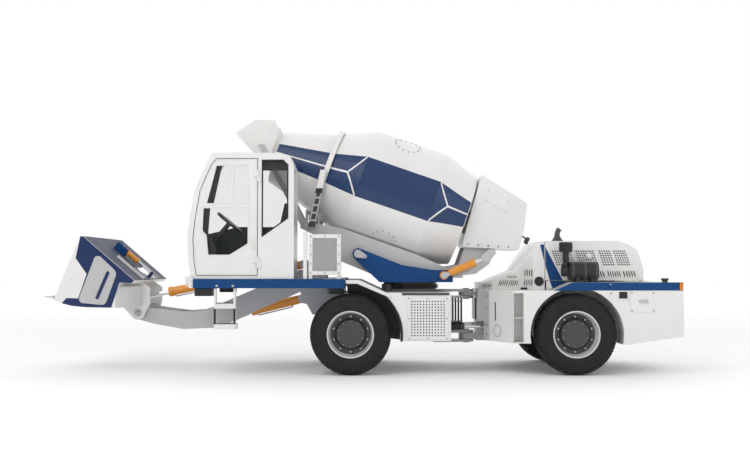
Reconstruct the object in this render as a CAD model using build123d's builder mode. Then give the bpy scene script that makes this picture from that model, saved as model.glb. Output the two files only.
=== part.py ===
from build123d import *
import os

# Self-loading concrete mixer: front is -X, the cab side is -Y, the ground is Z = 0.
# All sizes are millimetres.

os.makedirs("parts", exist_ok=True)

# Driving dimensions: wheels and articulation
WHEEL_RADIUS = 490
TYRE_WIDTH = 340
RIM_RADIUS = 285
WHEEL_CENTRE_Y = 930
FRONT_AXLE_X = -145
REAR_AXLE_X = 2570
PIVOT_X = 1333
PIVOT_RADIUS = 95
PIN_RADIUS = 40
BORE = 0.3
GAP = 5

# Driving dimensions: frames, deck and cab
FRAME_BOTTOM = 620
FRONT_FRAME_TOP = 960
FRONT_FRAME_REAR = 1062
FRONT_HALF = 400
REAR_FRAME_TOP = 1020
REAR_HALF = 420
REAR_END = 3846
BODY_HALF = 1100
DECK_FRONT = -2022
DECK_REAR = -216
DECK_HALF = 1150
DECK_BOTTOM = 1046
DECK_TOP = 1157
CAB_OUT = -1120
CAB_IN = -530
CAB_REAR = -823
CAB_ROOF = 2674
CAB_WALL = 40

# Driving dimensions: loader, drum and their pivots, as (X, Z)
BOOM_PIVOT = (-750, 1150)
BUCKET_PIVOT = (-2845, 720)
TILT_OFFSET = (-20, 188)
LIFT_BASE = (-788, 892)
LIFT_EYE = (-1720, 666)
SLEW_X = 607
SLEW_TOP = 1111
CRADLE_PIVOT = (-61, 1465)
DRUM_CYL_BASE = (1004, 1197)
DRUM_CYL_EYE = (1521, 1413)
DRUM_CYL_Y = 675
DRUM_FRONT = (-45, 2362)
DRUM_AXIS = (0.945, -0.327)
DRUM_RADIUS = 750
DRUM_BODY = 962
DRUM_WALL = 12
STEER_BASE = (750, 330)
STEER_EYE = (1600, 290)
STEER_Z = 548

TILT_BASE = (BOOM_PIVOT[0] + TILT_OFFSET[0], BOOM_PIVOT[1] + TILT_OFFSET[1])
TILT_EYE = (BUCKET_PIVOT[0] + TILT_OFFSET[0], BUCKET_PIVOT[1] + TILT_OFFSET[1])


def both(inner, outer):
    """The two Y spans of a mirrored pair of plates."""
    return ((-outer, -inner), (inner, outer))


def block(x_span, y_span, z_span, mode=Mode.ADD):
    """Box between two X, two Y and two Z values."""
    spans = (x_span, y_span, z_span)
    with Locations(tuple((low + high) / 2 for low, high in spans)):
        Box(*(high - low for low, high in spans), mode=mode)


def plate(points, y_span, mode=Mode.ADD, grow=0):
    """Side outline in X and Z, as thick as its Y span."""
    with BuildSketch(Plane.XZ.offset(-y_span[1])) as side:
        with BuildLine():
            Polyline(*points, close=True)
        make_face()
        if grow:
            offset(amount=grow)
    extrude(side.sketch, amount=y_span[1] - y_span[0], mode=mode)


def slab(points, z_span, mode=Mode.ADD):
    """Plan outline in X and Y, as thick as its Z span."""
    with BuildSketch(Plane.XY.offset(z_span[0])) as plan:
        with BuildLine():
            Polyline(*points, close=True)
        make_face()
    extrude(plan.sketch, amount=z_span[1] - z_span[0], mode=mode)


def bar(start, end, radius, mode=Mode.ADD):
    """Round bar from one point to another."""
    run = Vector(*end) - Vector(*start)
    with BuildSketch(Plane(origin=start, z_dir=run)) as section:
        Circle(radius)
    extrude(section.sketch, amount=run.length, mode=mode)


def cross_bar(point, y_span, radius, mode=Mode.ADD):
    """Round bar across the machine at an (X, Z) point."""
    bar((point[0], y_span[0], point[1]), (point[0], y_span[1], point[1]), radius, mode)


def post(point, z_span, radius, mode=Mode.ADD):
    """Upright round bar at an (X, Y) point."""
    bar((*point, z_span[0]), (*point, z_span[1]), radius, mode)


def turned(profile, origin, axis, mode=Mode.ADD):
    """Outline of (along, radius) points turned about an axis in the XZ plane or along Y."""
    normal = (0, 0, 1) if axis[1] else (0, 1, 0)
    with BuildSketch(Plane(origin=origin, x_dir=axis, z_dir=normal)) as half:
        with BuildLine():
            Polyline(*profile, close=True)
        make_face()
    revolve(half.sketch, axis=Axis(origin, axis), mode=mode)


def lug(eye, radius, root_low, root_high, y_span):
    """Plate with a round end about an eye, running back to two root points."""
    cross_bar(eye, y_span, radius)
    run = Vector(*root_low) / 2 + Vector(*root_high) / 2 - Vector(*eye)
    side = Vector(-run.Y, run.X).normalized() * radius
    left = (eye[0] + side.X, eye[1] + side.Y)
    right = (eye[0] - side.X, eye[1] - side.Y)
    high_first = side.dot(Vector(*root_high) - Vector(*root_low)) > 0
    near, far = (left, right) if high_first else (right, left)
    plate([near, root_high, root_low, far], y_span)


def along(start, end, distance):
    """Point at a distance from start towards end, for (X, Z) points."""
    run = (Vector(*end) - Vector(*start)).normalized() * distance
    return (start[0] + run.X, start[1] + run.Y)


def at_y(point, y):
    """An (X, Z) point carried to a Y."""
    return (point[0], y, point[1])


def save(piece, name):
    """Label a finished piece and write its file."""
    piece.part.label = name
    export_step(piece.part, f"parts/{name}.step")


# Front frame: box beam, boom towers, cylinder lugs and the forks of the steering pivot
LUG_IN = 62
LUG_OUT = 92
TOWER_IN = 360
FORK_ROOT = 160
FORK_PLATES = ((336, 368), (454, 486), (898, 930), (983, 1015))
FORK_PINS = ((323, 500), (885, 1028))
BEAM_FRONT = -600
TOWER = [(-450, 700), (-450, 1040), (-520, 1380), (-610, 1380), (-760, 1270), (-870, 1170), (-840, 1060),
         (-640, 700)]

with BuildPart() as front_chassis:
    block((BEAM_FRONT, FRONT_FRAME_REAR), (-FRONT_HALF, FRONT_HALF), (FRAME_BOTTOM, FRONT_FRAME_TOP))
    for y_span in both(TOWER_IN, FRONT_HALF):
        plate(TOWER, y_span)
    block((-600, -530), (-FRONT_HALF, FRONT_HALF), (1230, 1370))
    for y_span in both(LUG_IN, LUG_OUT):
        lug(TILT_BASE, 55, (-590, 1240), (-590, 1370), y_span)
        lug(LIFT_BASE, 60, (-590, 800), (-590, 955), y_span)
    for y_span in both(300, FRONT_HALF):
        cross_bar(BOOM_PIVOT, y_span, PIN_RADIUS)
    for eye in (TILT_BASE, LIFT_BASE):
        cross_bar(eye, (-LUG_OUT, LUG_OUT), 28)
    post((SLEW_X, 0), (FRONT_FRAME_TOP, 1022), 330)
    block((900, FRONT_FRAME_REAR), (-FORK_ROOT, FORK_ROOT), (336, 1015))
    for z_span in FORK_PLATES:
        slab([(1000, -FORK_ROOT), (PIVOT_X, -PIVOT_RADIUS), (PIVOT_X, PIVOT_RADIUS), (1000, FORK_ROOT)], z_span)
        post((PIVOT_X, 0), z_span, PIVOT_RADIUS)
    for z_span in FORK_PINS:
        post((PIVOT_X, 0), z_span, PIN_RADIUS)
    for side in (-1, 1):
        post((STEER_BASE[0], side * STEER_BASE[1]), (505, FRAME_BOTTOM), 25)
save(front_chassis, "front_chassis")

# Axles: a housing with spindles that the wheels turn on
HOUSING_END = 700
SPINDLE_END = 885
SPINDLE_RADIUS = 70
for name, axle_x in (("front_axle", FRONT_AXLE_X), ("rear_axle", REAR_AXLE_X)):
    with BuildPart() as axle:
        cross_bar((axle_x, WHEEL_RADIUS), (-HOUSING_END, HOUSING_END), 105)
        cross_bar((axle_x, WHEEL_RADIUS), (-SPINDLE_END, SPINDLE_END), SPINDLE_RADIUS)
        bar((axle_x - 190, 0, WHEEL_RADIUS), (axle_x + 190, 0, WHEEL_RADIUS), 120)
        for y_span in both(230, 380):
            block((axle_x - 110, axle_x + 110), y_span, (WHEEL_RADIUS, FRAME_BOTTOM))
    save(axle, name)

# Wheels: tyre on a deep-dished rim with a blind hub bore, one pair of nodes per corner
TYRE_HALF = TYRE_WIDTH / 2
SHOULDER = ((150, RIM_RADIUS), (TYRE_HALF, 330), (TYRE_HALF, 425), (150, 468), (110, WHEEL_RADIUS))
TYRE = [(along_y, radius) for along_y, radius in SHOULDER]
TYRE += [(-along_y, radius) for along_y, radius in reversed(SHOULDER)]
RIM = [(-150, 266), (-150, RIM_RADIUS), (150, RIM_RADIUS), (150, 266), (-5, 250), (5, 190), (60, 165), (60, 0)]
RIM += [(-40, 0), (-40, SPINDLE_RADIUS + BORE), (-60, SPINDLE_RADIUS + BORE), (-60, 150), (-30, 185), (-40, 250)]
CORNERS = (("front_left", FRONT_AXLE_X, -1), ("front_right", FRONT_AXLE_X, 1),
           ("rear_left", REAR_AXLE_X, -1), ("rear_right", REAR_AXLE_X, 1))
for corner, axle_x, side in CORNERS:
    centre = (axle_x, side * WHEEL_CENTRE_Y, WHEEL_RADIUS)
    with BuildPart() as tyre:
        turned(TYRE, centre, (0, side, 0))
    save(tyre, f"tyre_{corner}")
    with BuildPart() as rim:
        turned(RIM, centre, (0, side, 0))
    save(rim, f"rim_{corner}")

# Deck: a platform on each side of the boom with one cross member on the front frame
with BuildPart() as deck:
    for y_span in both(FRONT_HALF, DECK_HALF):
        block((DECK_FRONT, DECK_REAR), y_span, (DECK_BOTTOM, DECK_TOP))
    block((-420, -240), (-500, 500), (FRONT_FRAME_TOP, DECK_BOTTOM))
save(deck, "deck")

# Cab: hollow shell with window openings, a door opening on the near side and panes
CAB_FRONT = [(-1806, CAB_ROOF), (-1884, 2528), (-2016, 2222), (-2074, 1874), (-2100, 1640), (-2082, 1350),
             (-2046, DECK_TOP)]
CAB_SIDE = CAB_FRONT + [(CAB_REAR, DECK_TOP), (CAB_REAR, 2514), (-870, 2627), (-983, CAB_ROOF)]
DOOR_REAR = -1262
DOOR_INSET = 70
DOOR = [(DOOR_REAR, 1200), (DOOR_REAR, 2600), (-1752, 2600)]
DOOR += [(x + DOOR_INSET, z) for x, z in CAB_FRONT[1:6]] + [(-1985, 1200)]
QUARTER = [(-1210, 2590), (-950, 2590), (-890, 2530), (-890, 1883), (-1210, 1655)]
FAR_WINDOW = [(-1740, 2590), (-950, 2590), (-890, 2530), (-890, 1883), (-1300, 1640), (-1990, 1640), (-1965, 1874),
              (-1910, 2222), (-1790, 2500)]
SCREEN_SPAN = (CAB_OUT + 50, CAB_IN - 50)
SCREEN = [(-2088, 1750), (-2074, 1874), (-2016, 2222), (-1884, 2528), (-1867, 2560)]
GLASS = 10
GLASS_INSET = 14
REAR_GLASS_Z = (1800, 2480)
HINGE_SPOT = (DOOR_REAR + 8, CAB_OUT - 15)
HINGE_Z = (1290, 2330)

with BuildPart() as cab_shell:
    plate(CAB_SIDE, (CAB_OUT, CAB_IN))
    plate(CAB_SIDE, (CAB_OUT + CAB_WALL, CAB_IN - CAB_WALL), Mode.SUBTRACT, grow=-CAB_WALL)
    plate(DOOR, (CAB_OUT, CAB_OUT + CAB_WALL), Mode.SUBTRACT, grow=8)
    plate(QUARTER, (CAB_OUT, CAB_OUT + CAB_WALL), Mode.SUBTRACT)
    plate(FAR_WINDOW, (CAB_IN - CAB_WALL, CAB_IN), Mode.SUBTRACT)
    block((-2200, -1760), SCREEN_SPAN, (SCREEN[0][1], SCREEN[-1][1]), Mode.SUBTRACT)
    block((CAB_REAR - 80, CAB_REAR), SCREEN_SPAN, REAR_GLASS_Z, Mode.SUBTRACT)
    for z_low in HINGE_Z:
        post(HINGE_SPOT, (z_low, z_low + 140), 8)
        post(HINGE_SPOT, (z_low, z_low + 60), 15)
        block((HINGE_SPOT[0], HINGE_SPOT[0] + 40), (HINGE_SPOT[1] - 6, CAB_OUT), (z_low, z_low + 60))
save(cab_shell, "cab_shell")

with BuildPart() as cab_glass:
    plate(QUARTER, (CAB_OUT + GLASS_INSET, CAB_OUT + GLASS_INSET + GLASS))
    plate(FAR_WINDOW, (CAB_IN - GLASS_INSET - GLASS, CAB_IN - GLASS_INSET))
    front_face = [(x + GLASS_INSET, z) for x, z in SCREEN]
    back_face = [(x + GLASS_INSET + GLASS, z) for x, z in reversed(SCREEN)]
    plate(front_face + back_face, SCREEN_SPAN)
    block((CAB_REAR - GLASS_INSET - GLASS, CAB_REAR - GLASS_INSET), SCREEN_SPAN, REAR_GLASS_Z)
save(cab_glass, "cab_glass")

WINDOW_PANES = (
    [(-1758, 2525), (-1590, 2525), (-1590, 2057), (-1878, 2057)],
    [(-1554, 2525), (-1368, 2525), (-1368, 2057), (-1554, 2057)],
    [(-1914, 2014), (-1368, 2014), (-1368, 1577), (-1590, 1439), (-1854, 1439), (-1878, 1679), (-1926, 1733)],
)
with BuildPart() as cab_door:
    plate(DOOR, (CAB_OUT, CAB_OUT + CAB_WALL))
    for pane in WINDOW_PANES:
        plate(pane, (CAB_OUT, CAB_OUT + CAB_WALL), Mode.SUBTRACT)
    for z_low in HINGE_Z:
        knuckle = (z_low + 60 + BORE, z_low + 120)
        post(HINGE_SPOT, knuckle, 15)
        block((HINGE_SPOT[0] - 60, HINGE_SPOT[0]), (HINGE_SPOT[1] - 6, CAB_OUT), knuckle)
        post(HINGE_SPOT, knuckle, 8 + BORE, Mode.SUBTRACT)
save(cab_door, "cab_door")

with BuildPart() as door_glass:
    for pane in WINDOW_PANES:
        plate(pane, (CAB_OUT + GLASS_INSET, CAB_OUT + GLASS_INSET + GLASS))
save(door_glass, "door_glass")

# Cab fittings: seat with back, console, column and wheel
CAB_FLOOR = DECK_TOP + CAB_WALL
SEAT_SPAN = (-1010, -660)
with BuildPart() as cab_interior:
    block((-1360, -960), SEAT_SPAN, (CAB_FLOOR, 1560))
    plate([(-1400, 1560), (-960, 1560), (-960, 1640), (-1400, 1660)], SEAT_SPAN)
    plate([(-1040, 1640), (-960, 1640), (-885, 2070), (-945, 2070)], SEAT_SPAN)
    plate([(-2010, CAB_FLOOR), (-1800, CAB_FLOOR), (-1760, 1500), (-1820, 1700), (-2010, 1640)], (-1060, -620))
    bar((-1830, -835, 1600), (-1640, -835, 1830), 30)
    bar((-1640, -835, 1830), (-1620, -835, 1854), 190)
save(cab_interior, "cab_interior")

# Steps to the door: two hangers carrying two treads
STEP_OUT = 20 - DECK_HALF
STEP_X = (-1776, -1515)
HANGER = 27
TREADS = ((803, 863), (557, 617))
with BuildPart() as cab_steps:
    for x_low in (STEP_X[0], STEP_X[1] - HANGER):
        block((x_low, x_low + HANGER), (STEP_OUT, STEP_OUT + 60), (TREADS[1][0], DECK_BOTTOM))
    for z_span in TREADS:
        block(STEP_X, (STEP_OUT, STEP_OUT + 230), z_span)
save(cab_steps, "cab_steps")

# Oil cooler behind the cab on four feet, beside an upright post
COOLER_X = (-644, -260)
COOLER_Y = (30 - DECK_HALF, 230 - DECK_HALF)
COOLER_BASE = DECK_TOP + 48
COOLER_FOOT = 44
with BuildPart() as oil_cooler:
    block(COOLER_X, COOLER_Y, (COOLER_BASE, COOLER_BASE + 487))
    for x_low in (COOLER_X[0], COOLER_X[1] - COOLER_FOOT):
        block((x_low, x_low + COOLER_FOOT), COOLER_Y, (DECK_TOP, COOLER_BASE))
    block((-710, -665), (COOLER_Y[0], COOLER_Y[0] + 60), (DECK_TOP, DECK_TOP + 563))
save(oil_cooler, "oil_cooler")

# Tanks on both sides of the front frame, cut by the wheel arches and clear of the steering cylinders
TANK_OUT = BODY_HALF - 20
TANK_Z = (412, 991)
STEER_ROOM = 480
with BuildPart() as side_tanks:
    for y_span in both(FRONT_HALF, TANK_OUT):
        block((300, FRONT_FRAME_REAR), y_span, TANK_Z)
    for y_span in both(FRONT_HALF, STEER_ROOM):
        block((300, FRONT_FRAME_REAR), y_span, (TANK_Z[0], FRAME_BOTTOM), Mode.SUBTRACT)
    cross_bar((FRONT_AXLE_X, WHEEL_RADIUS), (-1200, 1200), 630, Mode.SUBTRACT)
save(side_tanks, "side_tanks")

# Lower ring of the slewing bearing
with BuildPart() as slew_bearing:
    post((SLEW_X, 0), (1022, SLEW_TOP - BORE), 345)
    post((SLEW_X, 0), (1022, SLEW_TOP - BORE), 240, Mode.SUBTRACT)
save(slew_bearing, "slew_bearing")

# Rear frame: box beam, keel, tongues of the steering pivot and the rod eye plates
NOSE_X = 1450
BEAM_REAR = 3700
KEEL_HALF = 150
TONGUES = ((373, 449), (935, 978))
EYE_PLATES = ((488, 508), (588, FRAME_BOTTOM))

with BuildPart() as rear_chassis:
    block((NOSE_X, BEAM_REAR), (-REAR_HALF, REAR_HALF), (FRAME_BOTTOM, REAR_FRAME_TOP))
    block((NOSE_X, 1900), (-KEEL_HALF, KEEL_HALF), (360, FRAME_BOTTOM))
    for z_span in TONGUES:
        slab([(PIVOT_X, -PIVOT_RADIUS), (1600, -KEEL_HALF), (1600, KEEL_HALF), (PIVOT_X, PIVOT_RADIUS)], z_span)
        post((PIVOT_X, 0), z_span, PIVOT_RADIUS)
        post((PIVOT_X, 0), z_span, PIN_RADIUS + BORE, Mode.SUBTRACT)
    for z_span in EYE_PLATES:
        block((1540, 1660), (-350, 350), z_span)
save(rear_chassis, "rear_chassis")

# Side bodies: step box, wheel arch and tail box on each side, tapered in plan for steering
ARCH_RADIUS = 560
WING_FRONT = 1520
NOSE_REAR = 2243
WING = [(WING_FRONT, 390), (WING_FRONT, REAR_FRAME_TOP), (NOSE_REAR + 67, REAR_FRAME_TOP), (NOSE_REAR + 277, 1117),
        (REAR_END, 1117), (REAR_END, 465), (3816, 464), (3188, 372)]
TAPER_OUT = BODY_HALF + 200
TAPER = [(1450, 450), (1800, BODY_HALF - 20), (1810, TAPER_OUT), (1450, TAPER_OUT)]
FOOTHOLD_X = (1810, 1930)
FOOTHOLD_DEEP = 200
FOOTHOLD_IN = BODY_HALF - FOOTHOLD_DEEP
FOOTHOLD_Z = (400, 680, 985)
HOOD_HINGE = (3478, 1150)
HINGE_PIN = 10
HINGE_FOOT = [(3470, 1117), (3505, 1117), (3490, 1155), (3478, 1162), (3470, 1155)]
with BuildPart() as rear_wings:
    for y_span in both(REAR_HALF, BODY_HALF):
        plate(WING, y_span)
    cross_bar((REAR_AXLE_X, WHEEL_RADIUS), (-TAPER_OUT, TAPER_OUT), ARCH_RADIUS, Mode.SUBTRACT)
    for side in (-1, 1):
        slab([(x, side * y) for x, y in TAPER], (300, 1200), Mode.SUBTRACT)
    for y_span in both(FOOTHOLD_IN, BODY_HALF):
        block(FOOTHOLD_X, y_span, (FOOTHOLD_Z[0], FOOTHOLD_Z[-1]), Mode.SUBTRACT)
    for y_span in both(FOOTHOLD_IN, BODY_HALF - 60):
        block(FOOTHOLD_X, y_span, (FOOTHOLD_Z[1], FOOTHOLD_Z[1] + 14))
    for y_span in both(500, 530) + both(570, 600):
        plate(HINGE_FOOT, y_span)
    for y_span in both(500, 600):
        cross_bar(HOOD_HINGE, y_span, HINGE_PIN)
save(rear_wings, "rear_wings")

# Counterweight across the tail, notched for the tow hitch
HITCH_X = 3790
with BuildPart() as counterweight:
    block((BEAM_REAR, REAR_END), (-REAR_HALF, REAR_HALF), (465, 1117))
    block((3740, REAR_END), (-90, 90), (465, 620), Mode.SUBTRACT)
save(counterweight, "counterweight")

with BuildPart() as tow_hitch:
    block((3740, REAR_END), (-90, 90), (495, 530))
    post((HITCH_X, 0), (495, 530), 25, Mode.SUBTRACT)
save(tow_hitch, "tow_hitch")

with BuildPart() as rear_lamps:
    for y_span in both(960, 1060):
        block((REAR_END, REAR_END + 12), y_span, (1000, 1095))
save(rear_lamps, "rear_lamps")

# Engine under the hood and the sloped cover in front of it
NOSE_FRONT = 1471
HOOD_FRONT = NOSE_REAR + 7
with BuildPart() as engine_block:
    block((HOOD_FRONT + 100, HOOD_FRONT + 950), (-330, 330), (REAR_FRAME_TOP, 1500))
save(engine_block, "engine_block")

NOSE_RIDGE = [(0, REAR_FRAME_TOP), (0, 1100), (0.115, 1110), (0.602, 1260), (0.931, 1590), (1, 1610),
              (1, REAR_FRAME_TOP)]
NOSE_EDGE = [(0, 250), (0.206, 420), (0.602, 550), (0.815, 740), (1, 740)]
NOSE_TOP = [(NOSE_FRONT + share * (NOSE_REAR - NOSE_FRONT), z) for share, z in NOSE_RIDGE]
NOSE_PLAN = [(NOSE_FRONT + share * (NOSE_REAR - NOSE_FRONT), y) for share, y in NOSE_EDGE]
with BuildPart() as nose_cover:
    plate(NOSE_TOP, (-760, 760))
    slab(NOSE_PLAN + [(x, -y) for x, y in reversed(NOSE_PLAN)], (1000, 1700), Mode.INTERSECT)
save(nose_cover, "nose_cover")

# Hood: hollow, open below, hinged at the tail, with its exhaust stack
HOOD_SPAN = (-740, 740)
HOOD_WALL = 20
HOOD = [(HOOD_FRONT, 1134), (HOOD_FRONT, 1622), (3150, 1622), (3267, 1583), (3384, 1511), (3460, 1283), (3460, 1134)]
HOOD_LINING = HOOD_FRONT + HOOD_WALL
HOOD_INNER = [(HOOD_LINING, 1100), (HOOD_LINING, 1602), (3146, 1602), (3258, 1564), (3367, 1497), (3440, 1279),
              (3440, 1100)]
with BuildPart() as engine_hood:
    plate(HOOD, HOOD_SPAN)
    plate(HOOD_INNER, (HOOD_SPAN[0] + HOOD_WALL, HOOD_SPAN[1] - HOOD_WALL), Mode.SUBTRACT)
    for y_span in both(530 + BORE, 570 - BORE):
        plate([(3450, 1140), (3450, 1190), (3490, 1160), (3478, 1136)], y_span)
        cross_bar(HOOD_HINGE, y_span, HINGE_PIN + BORE, Mode.SUBTRACT)
save(engine_hood, "engine_hood")

EXHAUST_X = 2494
with BuildPart() as exhaust_stack:
    post((EXHAUST_X, 0), (1622, 1640), 75)
    post((EXHAUST_X, 0), (1640, 1735), 42)
    bar((EXHAUST_X, 0, 1725), (EXHAUST_X + 70, 0, 1775), 42)
save(exhaust_stack, "exhaust_stack")

# Air cleaner on the near side body: canister on saddles with a capped inlet
CLEANER_Y = -930
with BuildPart() as air_cleaner:
    bar((2500, CLEANER_Y, 1253), (2850, CLEANER_Y, 1253), 112)
    for x_span in ((2580, 2620), (2760, 2800)):
        block(x_span, (-1010, -850), (1117, 1200))
    bar((2420, CLEANER_Y, 1253), (2500, CLEANER_Y, 1253), 70)
    post((2470, CLEANER_Y), (1253, 1480), 38)
    post((2470, CLEANER_Y), (1480, 1600), 80)
save(air_cleaner, "air_cleaner")

# Slewing frame: base plate with two side plates that carry the cradle and its cylinders
SLEW_PLATE = (600, 620)
SLEW_BASE = 26
SLEW_SIDE = [(207, SLEW_TOP), (-115, 1413), (-136, 1465), (-115, 1517), (-61, 1540), (0, 1515), (490, 1323),
             (880, 1262), (1120, 1262), (1120, SLEW_TOP)]
with BuildPart() as slew_frame:
    block((207, 1120), (-SLEW_PLATE[1], SLEW_PLATE[1]), (SLEW_TOP, SLEW_TOP + SLEW_BASE))
    for y_span in both(*SLEW_PLATE):
        plate(SLEW_SIDE, y_span)
    for y_span in both(470, 640):
        cross_bar(CRADLE_PIVOT, y_span, PIN_RADIUS)
    for y_span in both(SLEW_PLATE[0], 725):
        cross_bar(DRUM_CYL_BASE, y_span, 30)
save(slew_frame, "slew_frame")

# Drum cradle: side plates, floor, roller beam, rear ribs, cylinder lugs and hopper arms
CRADLE_PLATE = (480, 520)
CRADLE_SIDE = [(-790, 1790), (-580, 1700), (-274, 1370), (220, 1165), (1250, 1165), (1250, 1200), (668, 1460),
               (-241, 1780), (-600, 1850), (-790, 1850)]
RIB = [(1000, 1165), (1428, 1214), (1600, 1340), (1680, 1531), (1286, 1551), (1210, 1330), (1000, 1300)]
CRADLE_LUG = [(1465, 1390), (1500, 1350), (1560, 1370), (1645, 1470), (1620, 1520), (1560, 1520), (1465, 1440)]
HOPPER_ARM = [(-790, 1820), (-715, 1820), (-1260, 2860), (-1335, 2860)]
ROLLER = (-638, 1975)
ROLLER_Y = 364
ROLLER_BEAM_Z = (1790, 1850)
STRAP_SEAT = 590
with BuildPart() as drum_cradle:
    for y_span in both(*CRADLE_PLATE):
        plate(CRADLE_SIDE, y_span)
        cross_bar(CRADLE_PIVOT, y_span, PIN_RADIUS + BORE, Mode.SUBTRACT)
    block((300, 1250), (-CRADLE_PLATE[1], CRADLE_PLATE[1]), (1165, 1200))
    block((-790, -600), (-CRADLE_PLATE[1], CRADLE_PLATE[1]), ROLLER_BEAM_Z)
    block((-720, -600), (-STRAP_SEAT, STRAP_SEAT), ROLLER_BEAM_Z)
    for y_span in both(340, 360):
        plate(RIB, y_span)
    cross_bar((1600, 1478), (-745, 745), 40)
    for y_span in both(610, 638) + both(712, 740):
        plate(CRADLE_LUG, y_span)
    for y_span in both(380, 400):
        plate(HOPPER_ARM, y_span)
    for side in (-1, 1):
        centre = at_y(ROLLER, side * ROLLER_Y)
        reach = Vector(DRUM_AXIS[0], 0, DRUM_AXIS[1])
        bar(Vector(*centre) - reach * 30, Vector(*centre) + reach * 30, 88)
        bar(Vector(*centre) - reach * 95, Vector(*centre) + reach * 95, 28)
        y_span = tuple(sorted((side * 320, side * 410)))
        block((-730, -700), y_span, (1850, 2030))
        block((-578, -548), y_span, (1790, 1960))
        block((-600, -548), y_span, ROLLER_BEAM_Z)
save(drum_cradle, "drum_cradle")

# Drum: hollow turned shell, open at the mouth, with a running ring on its neck
MOUTH = -1148
MOUTH_RADIUS = 341
NECK = -435
NECK_RADIUS = 552
RING_HALF = 25
RING_RADIUS = 572
DRUM_END = 1415
DRUM_END_RADIUS = 592
SPIGOT_RADIUS = 60
DRUM_ORIGIN = at_y(DRUM_FRONT, 0)
DRUM_LINE = (DRUM_AXIS[0], 0, DRUM_AXIS[1])
DRUM = [(MOUTH, MOUTH_RADIUS), (NECK - RING_HALF, 545), (NECK - RING_HALF, RING_RADIUS),
        (NECK + RING_HALF, RING_RADIUS), (NECK + RING_HALF, 563), (0, DRUM_RADIUS), (DRUM_BODY, DRUM_RADIUS),
        (DRUM_END, DRUM_END_RADIUS), (DRUM_END, SPIGOT_RADIUS + BORE), (DRUM_END - DRUM_WALL, SPIGOT_RADIUS + BORE),
        (DRUM_END - DRUM_WALL, DRUM_END_RADIUS - 9),
        (DRUM_BODY - 2, DRUM_RADIUS - DRUM_WALL), (3, DRUM_RADIUS - DRUM_WALL), (NECK, NECK_RADIUS - DRUM_WALL),
        (MOUTH, MOUTH_RADIUS - DRUM_WALL)]
with BuildPart() as mixing_drum:
    turned(DRUM, DRUM_ORIGIN, DRUM_LINE)
save(mixing_drum, "mixing_drum")

# Strap over the neck with a slanted bracket on each end of the roller beam
STRAP_IN = 585
STRAP_OUT = 602
STRAP = [(NECK - 30, STRAP_IN), (NECK - 30, STRAP_OUT), (NECK + 30, STRAP_OUT), (NECK + 30, STRAP_IN)]
BRACKET = [(-690, 1800), (-600, 1800), (-455, 2520), (-535, 2520)]
with BuildPart() as drum_strap:
    turned(STRAP, DRUM_ORIGIN, DRUM_LINE)
    block((-1000, 200), (-700, 700), (1700, 2490), Mode.SUBTRACT)
    for y_span in both(STRAP_SEAT, STRAP_SEAT + 16):
        plate(BRACKET, y_span)
save(drum_strap, "drum_strap")

# Cover of the drum drive, with the bearing hub facing the drum
COVER = [(1505, 2469), (2077, 2107), (2036, 1778), (1968, 1517), (1286, 1551), (1252, 1585)]
HUB = [(DRUM_END - DRUM_WALL, 0), (DRUM_END - DRUM_WALL, SPIGOT_RADIUS), (DRUM_END + GAP, SPIGOT_RADIUS),
       (DRUM_END + GAP, 150), (1560, 150), (1560, 0)]
with BuildPart() as drum_cover:
    plate(COVER, (-420, 420))
    turned(HUB, DRUM_ORIGIN, DRUM_LINE)
save(drum_cover, "drum_cover")

# Feed hopper: sloped floor between side plates, open above and towards the mouth
HOPPER = [(-1629, 3012), (-1375, 3171), (-1130, 3171), (-1067, 3052), (-1198, 2674), (-1447, 2807)]
HOPPER_CUT = [(-1650, 3050), (-1440, 2822), (-1190, 2689), (-1000, 3060), (-1100, 3300), (-1420, 3300)]
with BuildPart() as feed_hopper:
    plate(HOPPER, (-380, 380))
    plate(HOPPER_CUT, (-368, 368), Mode.SUBTRACT)
    plate([(-1210, 2680), (-1090, 2617), (-1085, 2629), (-1205, 2692)], (-250, 250))
save(feed_hopper, "feed_hopper")

# Loader boom: two cranked plates with cross tubes and the lugs of the lift cylinder
BOOM_PLATE = (300, 340)
BOOM = [(-2845, 635), (-2640, 578), (-2279, 515), (-1900, 530), (-1700, 590), (-700, 1035), (-640, 1110),
        (-670, 1235), (-800, 1270), (-1900, 800), (-2060, 745), (-2298, 730), (-2560, 765), (-2845, 805)]
BOOM_TUBES = (((-1870, 690), 50), ((-2420, 640), 60))
with BuildPart() as loader_boom:
    for y_span in both(*BOOM_PLATE):
        plate(BOOM, y_span)
        cross_bar(BUCKET_PIVOT, y_span, 85)
        for eye in (BOOM_PIVOT, BUCKET_PIVOT):
            cross_bar(eye, y_span, PIN_RADIUS + BORE, Mode.SUBTRACT)
    for centre, radius in BOOM_TUBES:
        cross_bar(centre, (-BOOM_PLATE[0], BOOM_PLATE[0]), radius)
    for y_span in both(LUG_IN, LUG_OUT):
        lug(LIFT_EYE, 55, (-1880, 650), (-1880, 730), y_span)
save(loader_boom, "loader_boom")

# Pin that carries the bucket at the boom's tip
EAR = (360, 400)
with BuildPart() as bucket_pin:
    cross_bar(BUCKET_PIVOT, (-EAR[1] - 25, EAR[1] + 25), PIN_RADIUS)
save(bucket_pin, "bucket_pin")

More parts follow.
